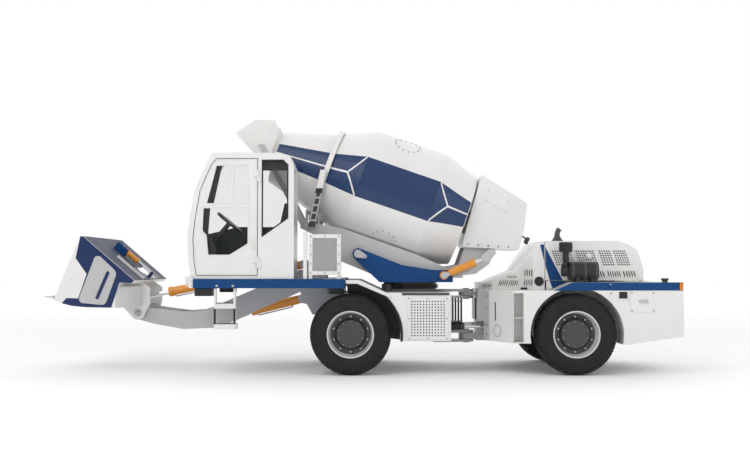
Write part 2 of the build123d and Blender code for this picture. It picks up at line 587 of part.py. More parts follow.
# Bucket: sides, floor with lip, back and a sloped top sheet with the outlet under the gate
BUCKET_HALF = 970
BUCKET_WALL = 15
SHEET_FOOT = (-2761, 1138)
SHEET_TOP = (-3389, 1676)
BELLY = [(-3738, 905), (-3646, 860), (-3516, 828), (-3350, 812), (-3042, 806)]
BUCKET = BELLY + [(-2945, 1110), (-2800, 1100), SHEET_FOOT, SHEET_TOP, (-3424, 1676)]
FLOOR_SHEET = 19
BUCKET_CUT = [(-3900, 956)] + [(x, z + FLOOR_SHEET) for x, z in BELLY[:-1]]
BUCKET_CUT += [(-3058, 827), (-2960, 1128), (-2803, 1116), (-2785, 1142), (-3431, 1696), (-3600, 1900),
               (-4000, 1500)]
LIP = [(-3858, 938), BELLY[0], BELLY[1]] + [(x, z + FLOOR_SHEET) for x, z in BELLY[1::-1]] + [(-3858, 946)]
OUTLET = (20, 200)
OUTLET_HALF = 400
GUIDE = (15, 450)


def on_sheet(distance, height):
    """Point at a distance up the sloped sheet from its foot and a height above it."""
    slope = (Vector(*SHEET_TOP) - Vector(*SHEET_FOOT)).normalized()
    spot = Vector(*SHEET_FOOT) + slope * distance + Vector(slope.Y, -slope.X) * height
    return (spot.X, spot.Y)


def strip(distances, heights):
    """Rectangle lying on the sloped sheet."""
    (low, high), (under, over) = distances, heights
    return [on_sheet(low, under), on_sheet(high, under), on_sheet(high, over), on_sheet(low, over)]


with BuildPart() as bucket_shell:
    plate(BUCKET, (-BUCKET_HALF, BUCKET_HALF))
    plate(BUCKET_CUT, (-BUCKET_HALF + BUCKET_WALL, BUCKET_HALF - BUCKET_WALL), Mode.SUBTRACT)
    plate(LIP, (-BUCKET_HALF, BUCKET_HALF))
    plate(strip(OUTLET, (-40, 10)), (-OUTLET_HALF, OUTLET_HALF), Mode.SUBTRACT)
    for y_span in both(446, 470):
        plate(strip(GUIDE, (0, 30)), y_span)
    for y_span in both(425, 470):
        plate(strip(GUIDE, (17 + BORE, 30)), y_span)
save(bucket_shell, "bucket_shell")

# Bucket arms: ears for the boom pin, slanted webs out to the bucket's sides and lugs for the tilt rod
EARS = [(-3042, 806), (-2905, 655), (-2762, 705), (-2700, 830), (-2700, 1040), (-2800, 1100), (-2945, 1110)]
WEB = [(-3030, BUCKET_HALF), (-2990, BUCKET_HALF), (-2790, EAR[1]), (-2812, EAR[1])]
WEB_Z = (BELLY[-1][1], 1060)
TILT_LUG = [(-2905, 1107.2), (-2825, 1101.7), (-2815, TILT_EYE[1]), (-2915, TILT_EYE[1])]
with BuildPart() as bucket_arms:
    for y_span in both(*EAR):
        plate(EARS, y_span)
        cross_bar(BUCKET_PIVOT, y_span, 85)
        cross_bar(BUCKET_PIVOT, y_span, PIN_RADIUS + BORE, Mode.SUBTRACT)
    for side in (-1, 1):
        slab([(x, side * y) for x, y in WEB], WEB_Z)
    plate(BUCKET, (-BUCKET_HALF, BUCKET_HALF), Mode.SUBTRACT)
    for y_span in both(LUG_IN, LUG_OUT):
        plate(TILT_LUG, y_span)
        cross_bar(TILT_EYE, y_span, 50)
save(bucket_arms, "bucket_arms")

# Gate over the outlet with its rod, and the gate cylinder on the sheet
GATE_ROD_HEIGHT = 60
GATE_ROD_RADIUS = 16
GATE_BARREL = (290, 570)
GATE_ROD = (50, 310)


def on_rod_line(distance):
    """Point of the gate cylinder's axis."""
    return at_y(on_sheet(distance, GATE_ROD_HEIGHT), 0)


with BuildPart() as gate_barrel:
    bar(on_rod_line(GATE_BARREL[0]), on_rod_line(GATE_BARREL[1]), 34)
    bar(on_rod_line(GATE_BARREL[0]), on_rod_line(GATE_BARREL[1] - 10), GATE_ROD_RADIUS + BORE, Mode.SUBTRACT)
    plate(strip((560, 630), (0, 90)), (-30, 30))
save(gate_barrel, "gate_barrel")

with BuildPart() as bucket_gate:
    plate(strip((8, 215), (BORE, 17)), (-440, 440))
    plate(strip((30, 70), (17, 85)), (-22, 22))
    bar(on_rod_line(GATE_ROD[0]), on_rod_line(GATE_ROD[1]), GATE_ROD_RADIUS)
save(bucket_gate, "bucket_gate")

# Cylinders: each barrel turns on its base eye and each rod slides in its barrel
CYLINDERS = (
    # name, base, eye, rows, barrel length, barrel radius, rod radius, rod start, half eye, pin radius
    ("lift", LIFT_BASE, LIFT_EYE, (0,), 690, 58, 34, 180, 55, 28),
    ("tilt", TILT_BASE, TILT_EYE, (0,), 1800, 55, 32, 1200, 55, 28),
    ("drum_lift", DRUM_CYL_BASE, DRUM_CYL_EYE, (-DRUM_CYL_Y, DRUM_CYL_Y), 420, 45, 28, 110, 30, 30),
)
for name, base, eye, rows, length, radius, rod_radius, rod_start, half_eye, pin in CYLINDERS:
    reach = (Vector(*eye) - Vector(*base)).length
    with BuildPart() as barrel:
        for y in rows:
            cross_bar(base, (y - half_eye, y + half_eye), 52)
            bar(at_y(along(base, eye, 75), y), at_y(along(base, eye, length), y), radius)
            bar(at_y(base, y), at_y(along(base, eye, 80), y), half_eye - BORE)
            bar(at_y(along(base, eye, 90), y), at_y(along(base, eye, length), y), rod_radius + BORE, Mode.SUBTRACT)
            cross_bar(base, (y - half_eye, y + half_eye), pin + BORE, Mode.SUBTRACT)
    save(barrel, f"{name}_barrel")
    with BuildPart() as rod:
        for y in rows:
            bar(at_y(along(base, eye, rod_start), y), at_y(along(base, eye, reach - 20), y), rod_radius)
            cross_bar(eye, (y - half_eye, y + half_eye), 44)
            cross_bar(eye, (y - half_eye, y + half_eye), 24, Mode.SUBTRACT)
    save(rod, f"{name}_rod")

# Steering cylinders, level, one each side of the pivot
STEER_LENGTH = 535
for name, side in (("left", -1), ("right", 1)):
    base = Vector(STEER_BASE[0], side * STEER_BASE[1], STEER_Z)
    eye = Vector(STEER_EYE[0], side * STEER_EYE[1], STEER_Z)
    run = (eye - base).normalized()
    with BuildPart() as steer_barrel:
        post((base.X, base.Y), (STEER_Z - 30, STEER_Z + 30), 48)
        bar(base + run * 40, base + run * STEER_LENGTH, 30)
        bar(base + run * 55, base + run * STEER_LENGTH, 42)
        bar(base + run * 70, base + run * STEER_LENGTH, 25 + BORE, Mode.SUBTRACT)
        post((base.X, base.Y), (STEER_Z - 30, STEER_Z + 30), 25 + BORE, Mode.SUBTRACT)
    save(steer_barrel, f"steer_barrel_{name}")
    with BuildPart() as steer_rod:
        bar(base + run * 270, eye - run * 20, 25)
        post((eye.X, eye.Y), (STEER_Z - 30, STEER_Z + 30), 42)
        post((eye.X, eye.Y), (STEER_Z - 30, STEER_Z + 30), 24, Mode.SUBTRACT)
    save(steer_rod, f"steer_rod_{name}")
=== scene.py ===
import math

import bmesh
import bpy
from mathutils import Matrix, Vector


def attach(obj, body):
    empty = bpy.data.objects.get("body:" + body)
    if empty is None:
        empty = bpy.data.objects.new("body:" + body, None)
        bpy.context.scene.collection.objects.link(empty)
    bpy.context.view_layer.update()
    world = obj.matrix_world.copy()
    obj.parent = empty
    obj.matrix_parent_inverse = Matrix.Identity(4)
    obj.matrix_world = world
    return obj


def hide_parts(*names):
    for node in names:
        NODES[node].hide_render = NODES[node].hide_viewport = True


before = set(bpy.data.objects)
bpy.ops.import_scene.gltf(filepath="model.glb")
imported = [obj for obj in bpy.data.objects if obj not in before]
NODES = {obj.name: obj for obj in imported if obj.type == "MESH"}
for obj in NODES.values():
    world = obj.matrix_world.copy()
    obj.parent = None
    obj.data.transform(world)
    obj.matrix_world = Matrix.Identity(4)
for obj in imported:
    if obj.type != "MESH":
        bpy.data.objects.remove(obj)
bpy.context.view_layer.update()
MM = 0.001

# Colours, linear
WHITE = (0.80, 0.79, 0.775)
BLUE = (0.005, 0.057, 0.195)
DEEP_BLUE = (0.010, 0.028, 0.105)
GREY = (0.50, 0.50, 0.51)
ORANGE = (0.78, 0.30, 0.028)
BLACK = (0.012, 0.012, 0.013)


# Node helpers

def shader(name):
    """A new node material, its node tree and its main surface node."""
    material = bpy.data.materials.new(name)
    material.use_nodes = True
    tree = material.node_tree
    return material, tree, tree.nodes["Principled BSDF"]


def noise(tree, scale, detail=4.0):
    """Noise in the piece's own coordinates, in metres."""
    place = tree.nodes.new("ShaderNodeTexCoord")
    texture = tree.nodes.new("ShaderNodeTexNoise")
    texture.inputs["Scale"].default_value = scale
    texture.inputs["Detail"].default_value = detail
    texture.inputs["Roughness"].default_value = 0.55
    tree.links.new(place.outputs["Object"], texture.inputs["Vector"])
    return texture


def mottle(tree, surface, texture, low, high, start=0.3, end=0.7):
    """Base colour that runs from one colour to another over a stretch of a noise texture."""
    node = tree.nodes.new("ShaderNodeValToRGB")
    node.color_ramp.elements[0].position = start
    node.color_ramp.elements[1].position = end
    node.color_ramp.elements[0].color = (*low, 1)
    node.color_ramp.elements[1].color = (*high, 1)
    tree.links.new(texture.outputs["Fac"], node.inputs["Fac"])
    tree.links.new(node.outputs["Color"], surface.inputs["Base Color"])


def spread(tree, source, low, high, start=0.3, end=0.7):
    """One value mapped to another range."""
    node = tree.nodes.new("ShaderNodeMapRange")
    node.inputs["From Min"].default_value = start
    node.inputs["From Max"].default_value = end
    node.inputs["To Min"].default_value = low
    node.inputs["To Max"].default_value = high
    tree.links.new(source, node.inputs["Value"])
    return node


def gloss(tree, surface, scale, low, high):
    """Roughness that wanders between two values over noise of a scale."""
    node = spread(tree, noise(tree, scale).outputs["Fac"], low, high)
    tree.links.new(node.outputs["Result"], surface.inputs["Roughness"])


def bump(tree, surface, source, height, strength):
    """Bump on a surface node, with its height in metres."""
    node = tree.nodes.new("ShaderNodeBump")
    node.inputs["Distance"].default_value = height
    node.inputs["Strength"].default_value = strength
    tree.links.new(source, node.inputs["Height"])
    tree.links.new(node.outputs["Normal"], surface.inputs["Normal"])


def round_edges(tree, surface, radius):
    """Soft highlights along sharp edges."""
    node = tree.nodes.new("ShaderNodeBevel")
    node.samples = 4
    node.inputs["Radius"].default_value = radius
    link = next((l for l in tree.links if l.to_socket == surface.inputs["Normal"]), None)
    if link:
        tree.links.new(node.outputs["Normal"], link.from_node.inputs["Normal"])
    else:
        tree.links.new(node.outputs["Normal"], surface.inputs["Normal"])


def scaled(colour, factor):
    """A colour made lighter or darker."""
    return tuple(min(1.0, channel * factor) for channel in colour)


def paint(name, colour, rough=0.32, edge=0.006, coat=0.25, shine=0.5):
    """Sprayed machine paint: orange peel, faint dust and uneven gloss."""
    material, tree, surface = shader(name)
    mottle(tree, surface, noise(tree, 2.3, 6.0), scaled(colour, 0.95), colour, 0.28, 0.62)
    gloss(tree, surface, 7.0, rough - 0.05, rough + 0.08)
    surface.inputs["Coat Weight"].default_value = coat
    surface.inputs["Specular IOR Level"].default_value = shine
    surface.inputs["Coat Roughness"].default_value = 0.12
    bump(tree, surface, noise(tree, 420.0, 2.0).outputs["Fac"], 0.0002, 0.08)
    round_edges(tree, surface, edge)
    return material


def metal(name, colour, rough):
    """Bare or plated metal with fine uneven gloss."""
    material, tree, surface = shader(name)
    surface.inputs["Metallic"].default_value = 1.0
    mottle(tree, surface, noise(tree, 9.0), scaled(colour, 0.85), colour)
    gloss(tree, surface, 160.0, rough * 0.8, rough * 1.3)
    round_edges(tree, surface, 0.003)
    return material


def moulded(name, colour, rough, grain=900.0, height=0.0003, shine=0.5):
    """Rubber or moulded plastic with a fine grain."""
    material, tree, surface = shader(name)
    mottle(tree, surface, noise(tree, 12.0, 5.0), scaled(colour, 0.75), scaled(colour, 1.25))
    gloss(tree, surface, 30.0, rough - 0.08, rough + 0.08)
    surface.inputs["Specular IOR Level"].default_value = shine
    bump(tree, surface, noise(tree, grain, 2.0).outputs["Fac"], height, 0.35)
    return material


def clear(name, tint, alpha):
    """Thin window glass with a faint film."""
    material, tree, surface = shader(name)
    mottle(tree, surface, noise(tree, 3.0), scaled(tint, 0.9), tint)
    gloss(tree, surface, 5.0, 0.02, 0.06)
    surface.inputs["Alpha"].default_value = alpha
    surface.inputs["IOR"].default_value = 1.45
    return material


PAINTS = {
    "white": paint("white_paint", WHITE),
    "blue": paint("blue_paint", BLUE, 0.28, coat=0.06, shine=0.2),
    "deep_blue": paint("deep_blue_paint", DEEP_BLUE, 0.22, coat=0.15, shine=0.35),
    # Greyer, lighter blue for the bucket's top sheet: painted sheen on the blue paint
    "painted_sheen_blue": paint("gloss_blue_paint", (0.060, 0.072, 0.115), 0.5, coat=0.0, shine=0.12),
    "band_blue": paint("band_blue_paint", (0.024, 0.050, 0.130), 0.26, coat=0.08, shine=0.25),
    "grey": paint("grey_paint", GREY, 0.36),
    "orange": paint("orange_paint", ORANGE, 0.30, 0.004),
    "dark": paint("dark_paint", (0.045, 0.046, 0.05), 0.42),
    "black": moulded("black_plastic", BLACK, 0.45),
    "rubber": moulded("tyre_rubber", (0.013, 0.013, 0.0135), 0.62, 500.0, 0.0006, 0.3),
    "chrome": metal("chrome_rod", (0.86, 0.87, 0.88), 0.10),
    "steel": metal("bare_steel", (0.42, 0.42, 0.44), 0.34),
    "rim": paint("rim_paint", (0.70, 0.70, 0.70), 0.34),
    "glass": clear("window_glass", (0.10, 0.12, 0.12), 0.06),
    "amber": moulded("amber_lens", (0.75, 0.22, 0.015), 0.18, 200.0),
}

NODE_PAINT = {
    "white": "cab_shell cab_door mixing_drum drum_cover side_tanks rear_wings counterweight nose_cover "
             "engine_hood oil_cooler cab_steps bucket_shell bucket_arms feed_hopper",
    "blue": "deck slew_frame",
    "deep_blue": "bucket_gate",
    "grey": "front_chassis drum_cradle loader_boom rear_chassis",
    "dark": "front_axle rear_axle slew_bearing engine_block drum_strap tow_hitch exhaust_stack",
    "black": "cab_interior air_cleaner steer_barrel_left steer_barrel_right",
    "orange": "lift_barrel tilt_barrel drum_lift_barrel gate_barrel",
    "chrome": "lift_rod tilt_rod drum_lift_rod steer_rod_left steer_rod_right",
    "steel": "bucket_pin",
    "glass": "cab_glass door_glass",
    "amber": "rear_lamps",
    "rubber": "tyre_front_left tyre_front_right tyre_rear_left tyre_rear_right",
    "rim": "rim_front_left rim_front_right rim_rear_left rim_rear_right",
}
for paint_name, names in NODE_PAINT.items():
    for node in names.split():
        mesh = NODES[node].data
        mesh.materials.clear()
        mesh.materials.append(PAINTS[paint_name])


# Mesh helpers, in millimetres


def piece(name, points, faces, paints, body, crease=30, face_paints=None):
    """A painted mesh that rides a body, smooth but for edges sharper than the crease angle."""
    mesh = bpy.data.meshes.new(name)
    mesh.from_pydata([Vector(p) * MM for p in points], [], faces)
    for paint_name in paints.split():
        mesh.materials.append(PAINTS[paint_name])
    if face_paints:
        mesh.polygons.foreach_set("material_index", face_paints)
    work = bmesh.new()
    work.from_mesh(mesh)
    bmesh.ops.recalc_face_normals(work, faces=work.faces)
    work.to_mesh(mesh)
    work.free()
    mesh.polygons.foreach_set("use_smooth", [True] * len(mesh.polygons))
    mesh.set_sharp_from_angle(angle=math.radians(crease))
    obj = bpy.data.objects.new(name, mesh)
    bpy.context.scene.collection.objects.link(obj)
    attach(obj, body)
    return obj


def ring_points(origin, axis, profile, steps, cut=None):
    """Points of a turned shape, row by row; cut gives the depth taken off at a row and step."""
    line = Vector(axis).normalized()
    first = line.orthogonal().normalized()
    second = line.cross(first)
    points = []
    for row, (along, radius) in enumerate(profile):
        for step in range(steps):
            turn = math.tau * step / steps
            depth = cut(row, step) if cut else 0
            reach = first * math.cos(turn) + second * math.sin(turn)
            points.append(Vector(origin) + line * along + reach * (radius - depth))
    return points


def ring_faces(rows, steps, base=0, closed=False):
    """Faces between rows of points round a ring; closed joins the last row to the first."""
    faces = []
    for row in range(rows if closed else rows - 1):
        here = base + row * steps
        after = base + (row + 1) % rows * steps
        for step in range(steps):
            near = (step + 1) % steps
            faces.append((here + step, here + near, after + near, after + step))
    return faces


def lathe(name, profile, origin, axis, steps, paints, body, row_paints=None, cut=None, crease=30,
          closed=True):
    """A turned piece: the profile is (distance along the axis, radius)."""
    points = ring_points(origin, axis, profile, steps, cut)
    faces = ring_faces(len(profile), steps, closed=closed)
    face_paints = [row_paints[number // steps] if row_paints else 0 for number in range(len(faces))]
    return piece(name, points, faces, paints, body, crease, face_paints)


# Mixing drum: turned shell with a running ring, painted band and bolted hatches

DRUM_ORIGIN = Vector((-45, 0, 2362))
DRUM_LINE = Vector((0.945, 0, -0.327))
DRUM_RISE = Vector((0.327, 0, 0.945))
DRUM_RADIUS = 750
DRUM_LENGTH = 1415
TAIL_START = 962
DRUM_OUTSIDE = [(-1148, 341), (-470, 541), (-460, 560), (-460, 570), (-457, 572), (-413, 572), (-410, 570),
                (-410, 563), (-6, 747.5), (0, DRUM_RADIUS), (6, DRUM_RADIUS), (956, DRUM_RADIUS),
                (TAIL_START, DRUM_RADIUS), (968, 748), (1409, 594), (DRUM_LENGTH, 588)]
DRUM_INSIDE = [(DRUM_LENGTH, 60.3), (1403, 60.3), (1403, 583), (960, 738), (3, 738), (-435, 540),
               (-1136, 333), (-1148, 333)]
DRUM_STEPS = 144
drum_shell = lathe("drum_shell", DRUM_OUTSIDE + DRUM_INSIDE, DRUM_ORIGIN, DRUM_LINE, DRUM_STEPS, "white",
                   "drum", crease=15)
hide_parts("mixing_drum")


def drum_radius(along):
    """Outside radius of the drum at a distance along its axis."""
    for (low, first), (high, second) in zip(DRUM_OUTSIDE, DRUM_OUTSIDE[1:]):
        if low <= along <= high and high > low:
            return first + (second - first) * (along - low) / (high - low)
    return DRUM_OUTSIDE[-1][1]


def on_drum(along, angle, height):
    """Point on the drum; the angle is in degrees up from the near side."""
    turn = math.radians(angle)
    reach = Vector((0, -math.cos(turn), 0)) + DRUM_RISE * math.sin(turn)
    return DRUM_ORIGIN + DRUM_LINE * along + reach * (drum_radius(along) + height)


def sheet_grid(name, point, rows, columns, paints, body, crease):
    """A surface from a grid of points."""
    points = [point(r, c) for r in range(rows + 1) for c in range(columns + 1)]
    faces = []
    for r in range(rows):
        for c in range(columns):
            corner = r * (columns + 1) + c
            faces.append((corner, corner + 1, corner + columns + 2, corner + columns + 1))
    piece(name, points, faces, paints, body, crease)


BAND_LOW = -14.7
BAND_HIGH = 26.0
BAND_MID = (BAND_LOW + BAND_HIGH) / 2
BAND_HALF = (BAND_HIGH - BAND_LOW) / 2
CHEVRON = 180
BAND_RADIUS = 640
TAIL_NARROW = 0.22
LINE_HALF = 13
COATING = 1.2


def chevron(angle):
    """How far the band's centre panel runs past the drum's cylinder at an angle."""
    return CHEVRON * (1 - abs(angle - BAND_MID) / BAND_HALF)


def band_patch(name, start, end, low, high, narrow=0.0):
    """One blue panel on each side; start and end follow the angle, narrow pulls in its rear edge."""
    rows = max(4, int((high - low) / 1.6))
    columns = 14

    for side, turn in (("near", 0), ("far", 180)):
        def point(row, column):
            angle = low + (high - low) * row / rows
            along = start(angle) + (end(angle) - start(angle)) * column / columns
            pull = narrow * max(0.0, along - TAIL_START) / (DRUM_LENGTH - TAIL_START)
            return on_drum(along, turn + BAND_MID + (angle - BAND_MID) * (1 - pull), COATING)

        sheet_grid(f"{name}_{side}", point, rows, columns, "band_blue", "drum", 12)


def halves(name, start, end, narrow=0.0):
    """The two panels beside the band's centre line."""
    gap = math.degrees(LINE_HALF / BAND_RADIUS)
    band_patch(name + "_upper", start, end, BAND_MID + gap, BAND_HIGH, narrow)
    band_patch(name + "_lower", start, end, BAND_LOW, BAND_MID - gap, narrow)


for label, low, high in (("upper", BAND_MID, BAND_HIGH), ("lower", BAND_LOW, BAND_MID)):
    band_patch(f"band_nose_{label}", lambda a: LINE_HALF - chevron(a) if chevron(a) > LINE_HALF else 0.0,
               lambda a: 0.0, low, high)
    band_patch(f"band_body_{label}", lambda a: 0.0, lambda a: TAIL_START, low, high)
    band_patch(f"band_tail_{label}", lambda a: TAIL_START,
               lambda a: TAIL_START + max(0.0, chevron(a) - LINE_HALF), low, high, TAIL_NARROW)
halves("band_front", lambda a: -1140.0, lambda a: -475.0)
halves("band_neck", lambda a: -408.0, lambda a: -LINE_HALF - chevron(a))
halves("band_rear", lambda a: TAIL_START + LINE_HALF + chevron(a), lambda a: 1408.0, TAIL_NARROW)


def bolts(name, spots, across_flats, height, paint_name, body, sides=6):
    """Bolt heads with chamfered tops in one mesh; each spot is a place and the way it faces."""
    half = across_flats / 2
    head = [(0, half), (height * 0.75, half), (height, half * 0.82)]
    points = []
    faces = []
    for place, axis in spots:
        faces += ring_faces(len(head), sides, len(points))
        points += ring_points(place, axis, head, sides)
        faces.append(tuple(range(len(points) - sides, len(points))))
    piece(name, points, faces, paint_name, body, 25)


HATCHES = ((420, 62), (520, -52), (420, 182), (520, 242))
HATCH_RADIUS = 165
HATCH_BOLTS = 14
for number, (centre, angle) in enumerate(HATCHES):
    spots = []
    for step in range(HATCH_BOLTS):
        turn = math.tau * step / HATCH_BOLTS
        along = centre + HATCH_RADIUS * math.cos(turn)
        around = angle + math.degrees(HATCH_RADIUS * math.sin(turn) / DRUM_RADIUS)
        spot = on_drum(along, around, -1)
        spots.append((spot, spot - DRUM_ORIGIN - DRUM_LINE * along))
    bolts(f"drum_hatch_bolts_{number}", spots, 26, 11, "grey", "drum")


# Wheels: tyres with a block tread, dished rims, dark hub discs and wheel nuts

FRONT_AXLE_X = -145
REAR_AXLE_X = 2570
AXLE_Z = 490
WHEEL_Y = 930
CORNERS = (("front_left", FRONT_AXLE_X, -1), ("front_right", FRONT_AXLE_X, 1),
           ("rear_left", REAR_AXLE_X, -1), ("rear_right", REAR_AXLE_X, 1))
TREAD_PITCHES = 64
TREAD_STEPS = TREAD_PITCHES * 4
TYRE_HALF = [(150, 285), (154, 290), (158, 297), (163, 309), (164, 314), (167.5, 322), (169.5, 345),
             (170, 372), (169.5, 398), (168, 414), (170, 417), (170, 424), (167, 427), (161, 446),
             (155, 460), (150, 467), (140, 476), (126, 484), (108, 489), (97, 490), (95, 477), (85, 477),
             (83, 490), (60, 490), (37, 490), (35, 477), (25, 477), (23, 490), (0, 490)]
TYRE_PROFILE = TYRE_HALF + [(-along, radius) for along, radius in reversed(TYRE_HALF[:-1])]
TREAD_EDGE = 459
GROOVE_TOP = 478
CROWN_HALF = 97
CENTRE_HALF = 30
SHOULDER_CUT = 13
BLOCK_CUT = 9


def tread_cut(row, step):
    """Depth of the tread's cross grooves at a row of the profile and a step round the tyre."""
    along, radius = TYRE_PROFILE[row]
    place = abs(along)
    if radius < TREAD_EDGE or radius < GROOVE_TOP and place < CROWN_HALF:
        return 0
    if place >= CROWN_HALF:
        return SHOULDER_CUT if step % 4 in (0, 1) else 0
    if place > CENTRE_HALF:
        return BLOCK_CUT if step % 4 in (2, 3) else 0
    return BLOCK_CUT if step % 4 in (0, 1) else 0


RIM_PROFILE = [(-150, 266), (-150, 285), (143, 285), (149, 283), (150, 279), (149, 271), (144, 267),
               (120, 265), (60, 258), (12, 252), (0, 247), (-4, 238), (-4, 232), (-2, 196), (3, 190),
               (48, 173), (56, 169), (60, 162), (60, 148), (56, 145), (56, 60), (60, 56), (60, 0.5),
               (-40, 0.5), (-40, 70.3), (-60, 70.3), (-60, 150), (-30, 185), (-40, 250)]
RIM_PAINTS = [0 if row < 10 or row > 26 else 1 for row in range(len(RIM_PROFILE))]
WHEEL_NUTS = 10
NUT_CIRCLE = 213
CAP_CIRCLE = 154
for corner, axle_x, side in CORNERS:
    centre = Vector((axle_x, side * WHEEL_Y, AXLE_Z))
    outward = Vector((0, side, 0))
    body = "wheel_" + corner
    tyre = lathe("road_tyre_" + corner, TYRE_PROFILE, centre, outward, TREAD_STEPS, "rubber", body,
                 cut=tread_cut)
    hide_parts("tyre_" + corner)
    rim = lathe("dish_" + corner, RIM_PROFILE, centre, outward, 96, "rim dark", body, RIM_PAINTS, crease=28)
    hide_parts("rim_" + corner)
    nuts = []
    caps = []
    for step in range(WHEEL_NUTS):
        turn = math.tau * (step + 0.5) / WHEEL_NUTS
        reach = Vector((math.cos(turn), 0, math.sin(turn)))
        nuts.append((centre + outward * -4 + reach * NUT_CIRCLE, outward))
        caps.append((centre + outward * 59 + reach * CAP_CIRCLE, outward))
    bolts("wheel_nuts_" + corner, nuts, 34, 24, "steel", body)
    bolts("hub_bolts_" + corner, caps, 15, 8, "steel", body)
    valve_foot = centre + outward * 20 + Vector((0, 0, 236))
    lathe("valve_" + corner, [(0, 0.5), (0, 7), (26, 7), (28, 5), (44, 5), (46, 0.5)], valve_foot, outward,
          12, "black", body, closed=False)


# Flat work: places on a plane given by an origin and two directions

CORNER_STEPS = 4
ROUND_STEPS = 5
CAPSULE_STEPS = 12
PIPE_STEPS = 3
HOLE_ROUND = 0.72
WELD_REACH = 0.0002


class Face:
    """A flat face: an origin, two directions on it and the way it looks."""

    def __init__(self, origin, along, rise, look):
        self.origin = Vector(origin)
        self.along = Vector(along).normalized()
        self.rise = Vector(rise).normalized()
        self.look = Vector(look).normalized()

    def point(self, u, v, height):
        """Point on the face at a height in front of it."""
        return self.origin + self.along * u + self.rise * v + self.look * height


def side_face(y):
    """Upright face across the machine at a Y, with X along and Z up; it looks away from the middle."""
    return Face((0, y, 0), (1, 0, 0), (0, 0, 1), (0, math.copysign(1, y), 0))


def panel(name, face, outline, low, high, paint_name, body, bevel):
    """A flat plate from an outline on a face, from one height to another, with broken edges."""
    count = len(outline)
    points = [face.point(u, v, h) for h in (low, high) for u, v in outline]
    faces = [tuple(range(count)), tuple(range(count, 2 * count))]
    faces += [(i, (i + 1) % count, count + (i + 1) % count, count + i) for i in range(count)]
    obj = piece(name, points, faces, paint_name, body)
    if bevel:
        soften = obj.modifiers.new("edges", "BEVEL")
        soften.width = bevel * MM
        soften.segments = 2
        soften.limit_method = "ANGLE"
        soften.angle_limit = math.radians(40)


def rectangle(u_span, v_span, corner=0):
    """Outline of a rectangle, with round corners if asked."""
    if not corner:
        return [(u_span[0], v_span[0]), (u_span[1], v_span[0]), (u_span[1], v_span[1]),
                (u_span[0], v_span[1])]
    outline = []
    centres = ((u_span[1] - corner, v_span[0] + corner, -90), (u_span[1] - corner, v_span[1] - corner, 0),
               (u_span[0] + corner, v_span[1] - corner, 90), (u_span[0] + corner, v_span[0] + corner, 180))
    for u, v, start in centres:
        for step in range(CORNER_STEPS + 1):
            turn = math.radians(start + 90 * step / CORNER_STEPS)
            outline.append((u + corner * math.cos(turn), v + corner * math.sin(turn)))
    return outline


def disc(u, v, radius, steps):
    """Outline of a circle."""
    return [(u + radius * math.cos(math.tau * i / steps),
             v + radius * math.sin(math.tau * i / steps)) for i in range(steps)]


def corners_of(outline):
    """Each point of a closed outline between the points before and after it."""
    return zip(outline[-1:] + outline[:-1], outline, outline[1:] + outline[:1])


def shrunk(outline, amount):
    """An outline moved inwards by an amount, edge by edge."""
    area = sum(a[0] * b[1] - b[0] * a[1] for a, b in zip(outline, outline[1:] + outline[:1]))
    sign = 1 if area > 0 else -1
    result = []
    for before, here, after in corners_of(outline):
        first = (Vector(here) - Vector(before)).normalized()
        second = (Vector(after) - Vector(here)).normalized()
        inward = Vector((-first.y - second.y, first.x + second.x)) * sign
        share = inward.length_squared / 2
        move = inward / share if share > 0.05 else inward
        result.append((here[0] + move.x * amount, here[1] + move.y * amount))
    return result


def border(name, face, outline, width, low, high, paint_name, body):
    """A raised strip along the inside of an outline, such as a window seal."""
    inner = shrunk(outline, width)
    count = len(outline)
    loops = [[face.point(u, v, h) for u, v in line] for h in (low, high) for line in (outline, inner)]
    points = [p for loop in loops for p in loop]
    faces = []
    for i in range(count):
        j = (i + 1) % count
        faces.append((2 * count + i, 2 * count + j, 3 * count + j, 3 * count + i))
        faces.append((i, j, 2 * count + j, 2 * count + i))
        faces.append((count + i, count + j, 3 * count + j, 3 * count + i))
        faces.append((i, j, count + j, count + i))
    piece(name, points, faces, paint_name, body)


def perforated(name, face, u_span, v_span, counts, share, lean, low, high, paint_name, body, slant=0.0):
    """A plate with rows of holes: share is the hole's part of a cell, lean shears it all, slant a hole."""
    points = []
    faces = []
    cell_u = (u_span[1] - u_span[0]) / counts[0]
    cell_v = (v_span[1] - v_span[0]) / counts[1]
    ring = [(1, 0), (1, 1), (0, 1), (-1, 1), (-1, 0), (-1, -1), (0, -1), (1, -1)]
    for column in range(counts[0]):
        for row in range(counts[1]):
            mid_u = u_span[0] + cell_u * (column + 0.5)
            mid_v = v_span[0] + cell_v * (row + 0.5)
            base = len(points)
            for level, scale in ((high, None), (high, share), (low, share)):
                for du, dv in ring:
                    grow_u, grow_v = (1, 1) if scale is None else scale
                    round_off = HOLE_ROUND if scale and du and dv else 1
                    v = mid_v + dv * cell_v / 2 * grow_v * round_off
                    u = mid_u + du * cell_u / 2 * grow_u * round_off + lean * (v - v_span[0])
                    u += slant * (v - mid_v) if scale else 0
                    points.append(face.point(u, v, level))
            for step in range(8):
                near = (step + 1) % 8
                faces.append((base + step, base + near, base + 8 + near, base + 8 + step))
                faces.append((base + 8 + step, base + 8 + near, base + 16 + near, base + 16 + step))
    plate = piece(name, points, faces, paint_name, body, 30)
    weld = plate.modifiers.new("weld", "WELD")
    weld.merge_threshold = WELD_REACH
    # A black sheet behind the holes: painted shade inside the openings
    outline = [(u + lean * (v - v_span[0]), v) for u, v in rectangle(u_span, v_span)]
    panel(name + "_shade_backing", face, outline, low - 0.4, low, "black", body, 0)


def spots_on(face, places, height=0.0):
    """Bolt spots at places on a face."""
    return [(face.point(u, v, height), face.look) for u, v in places]


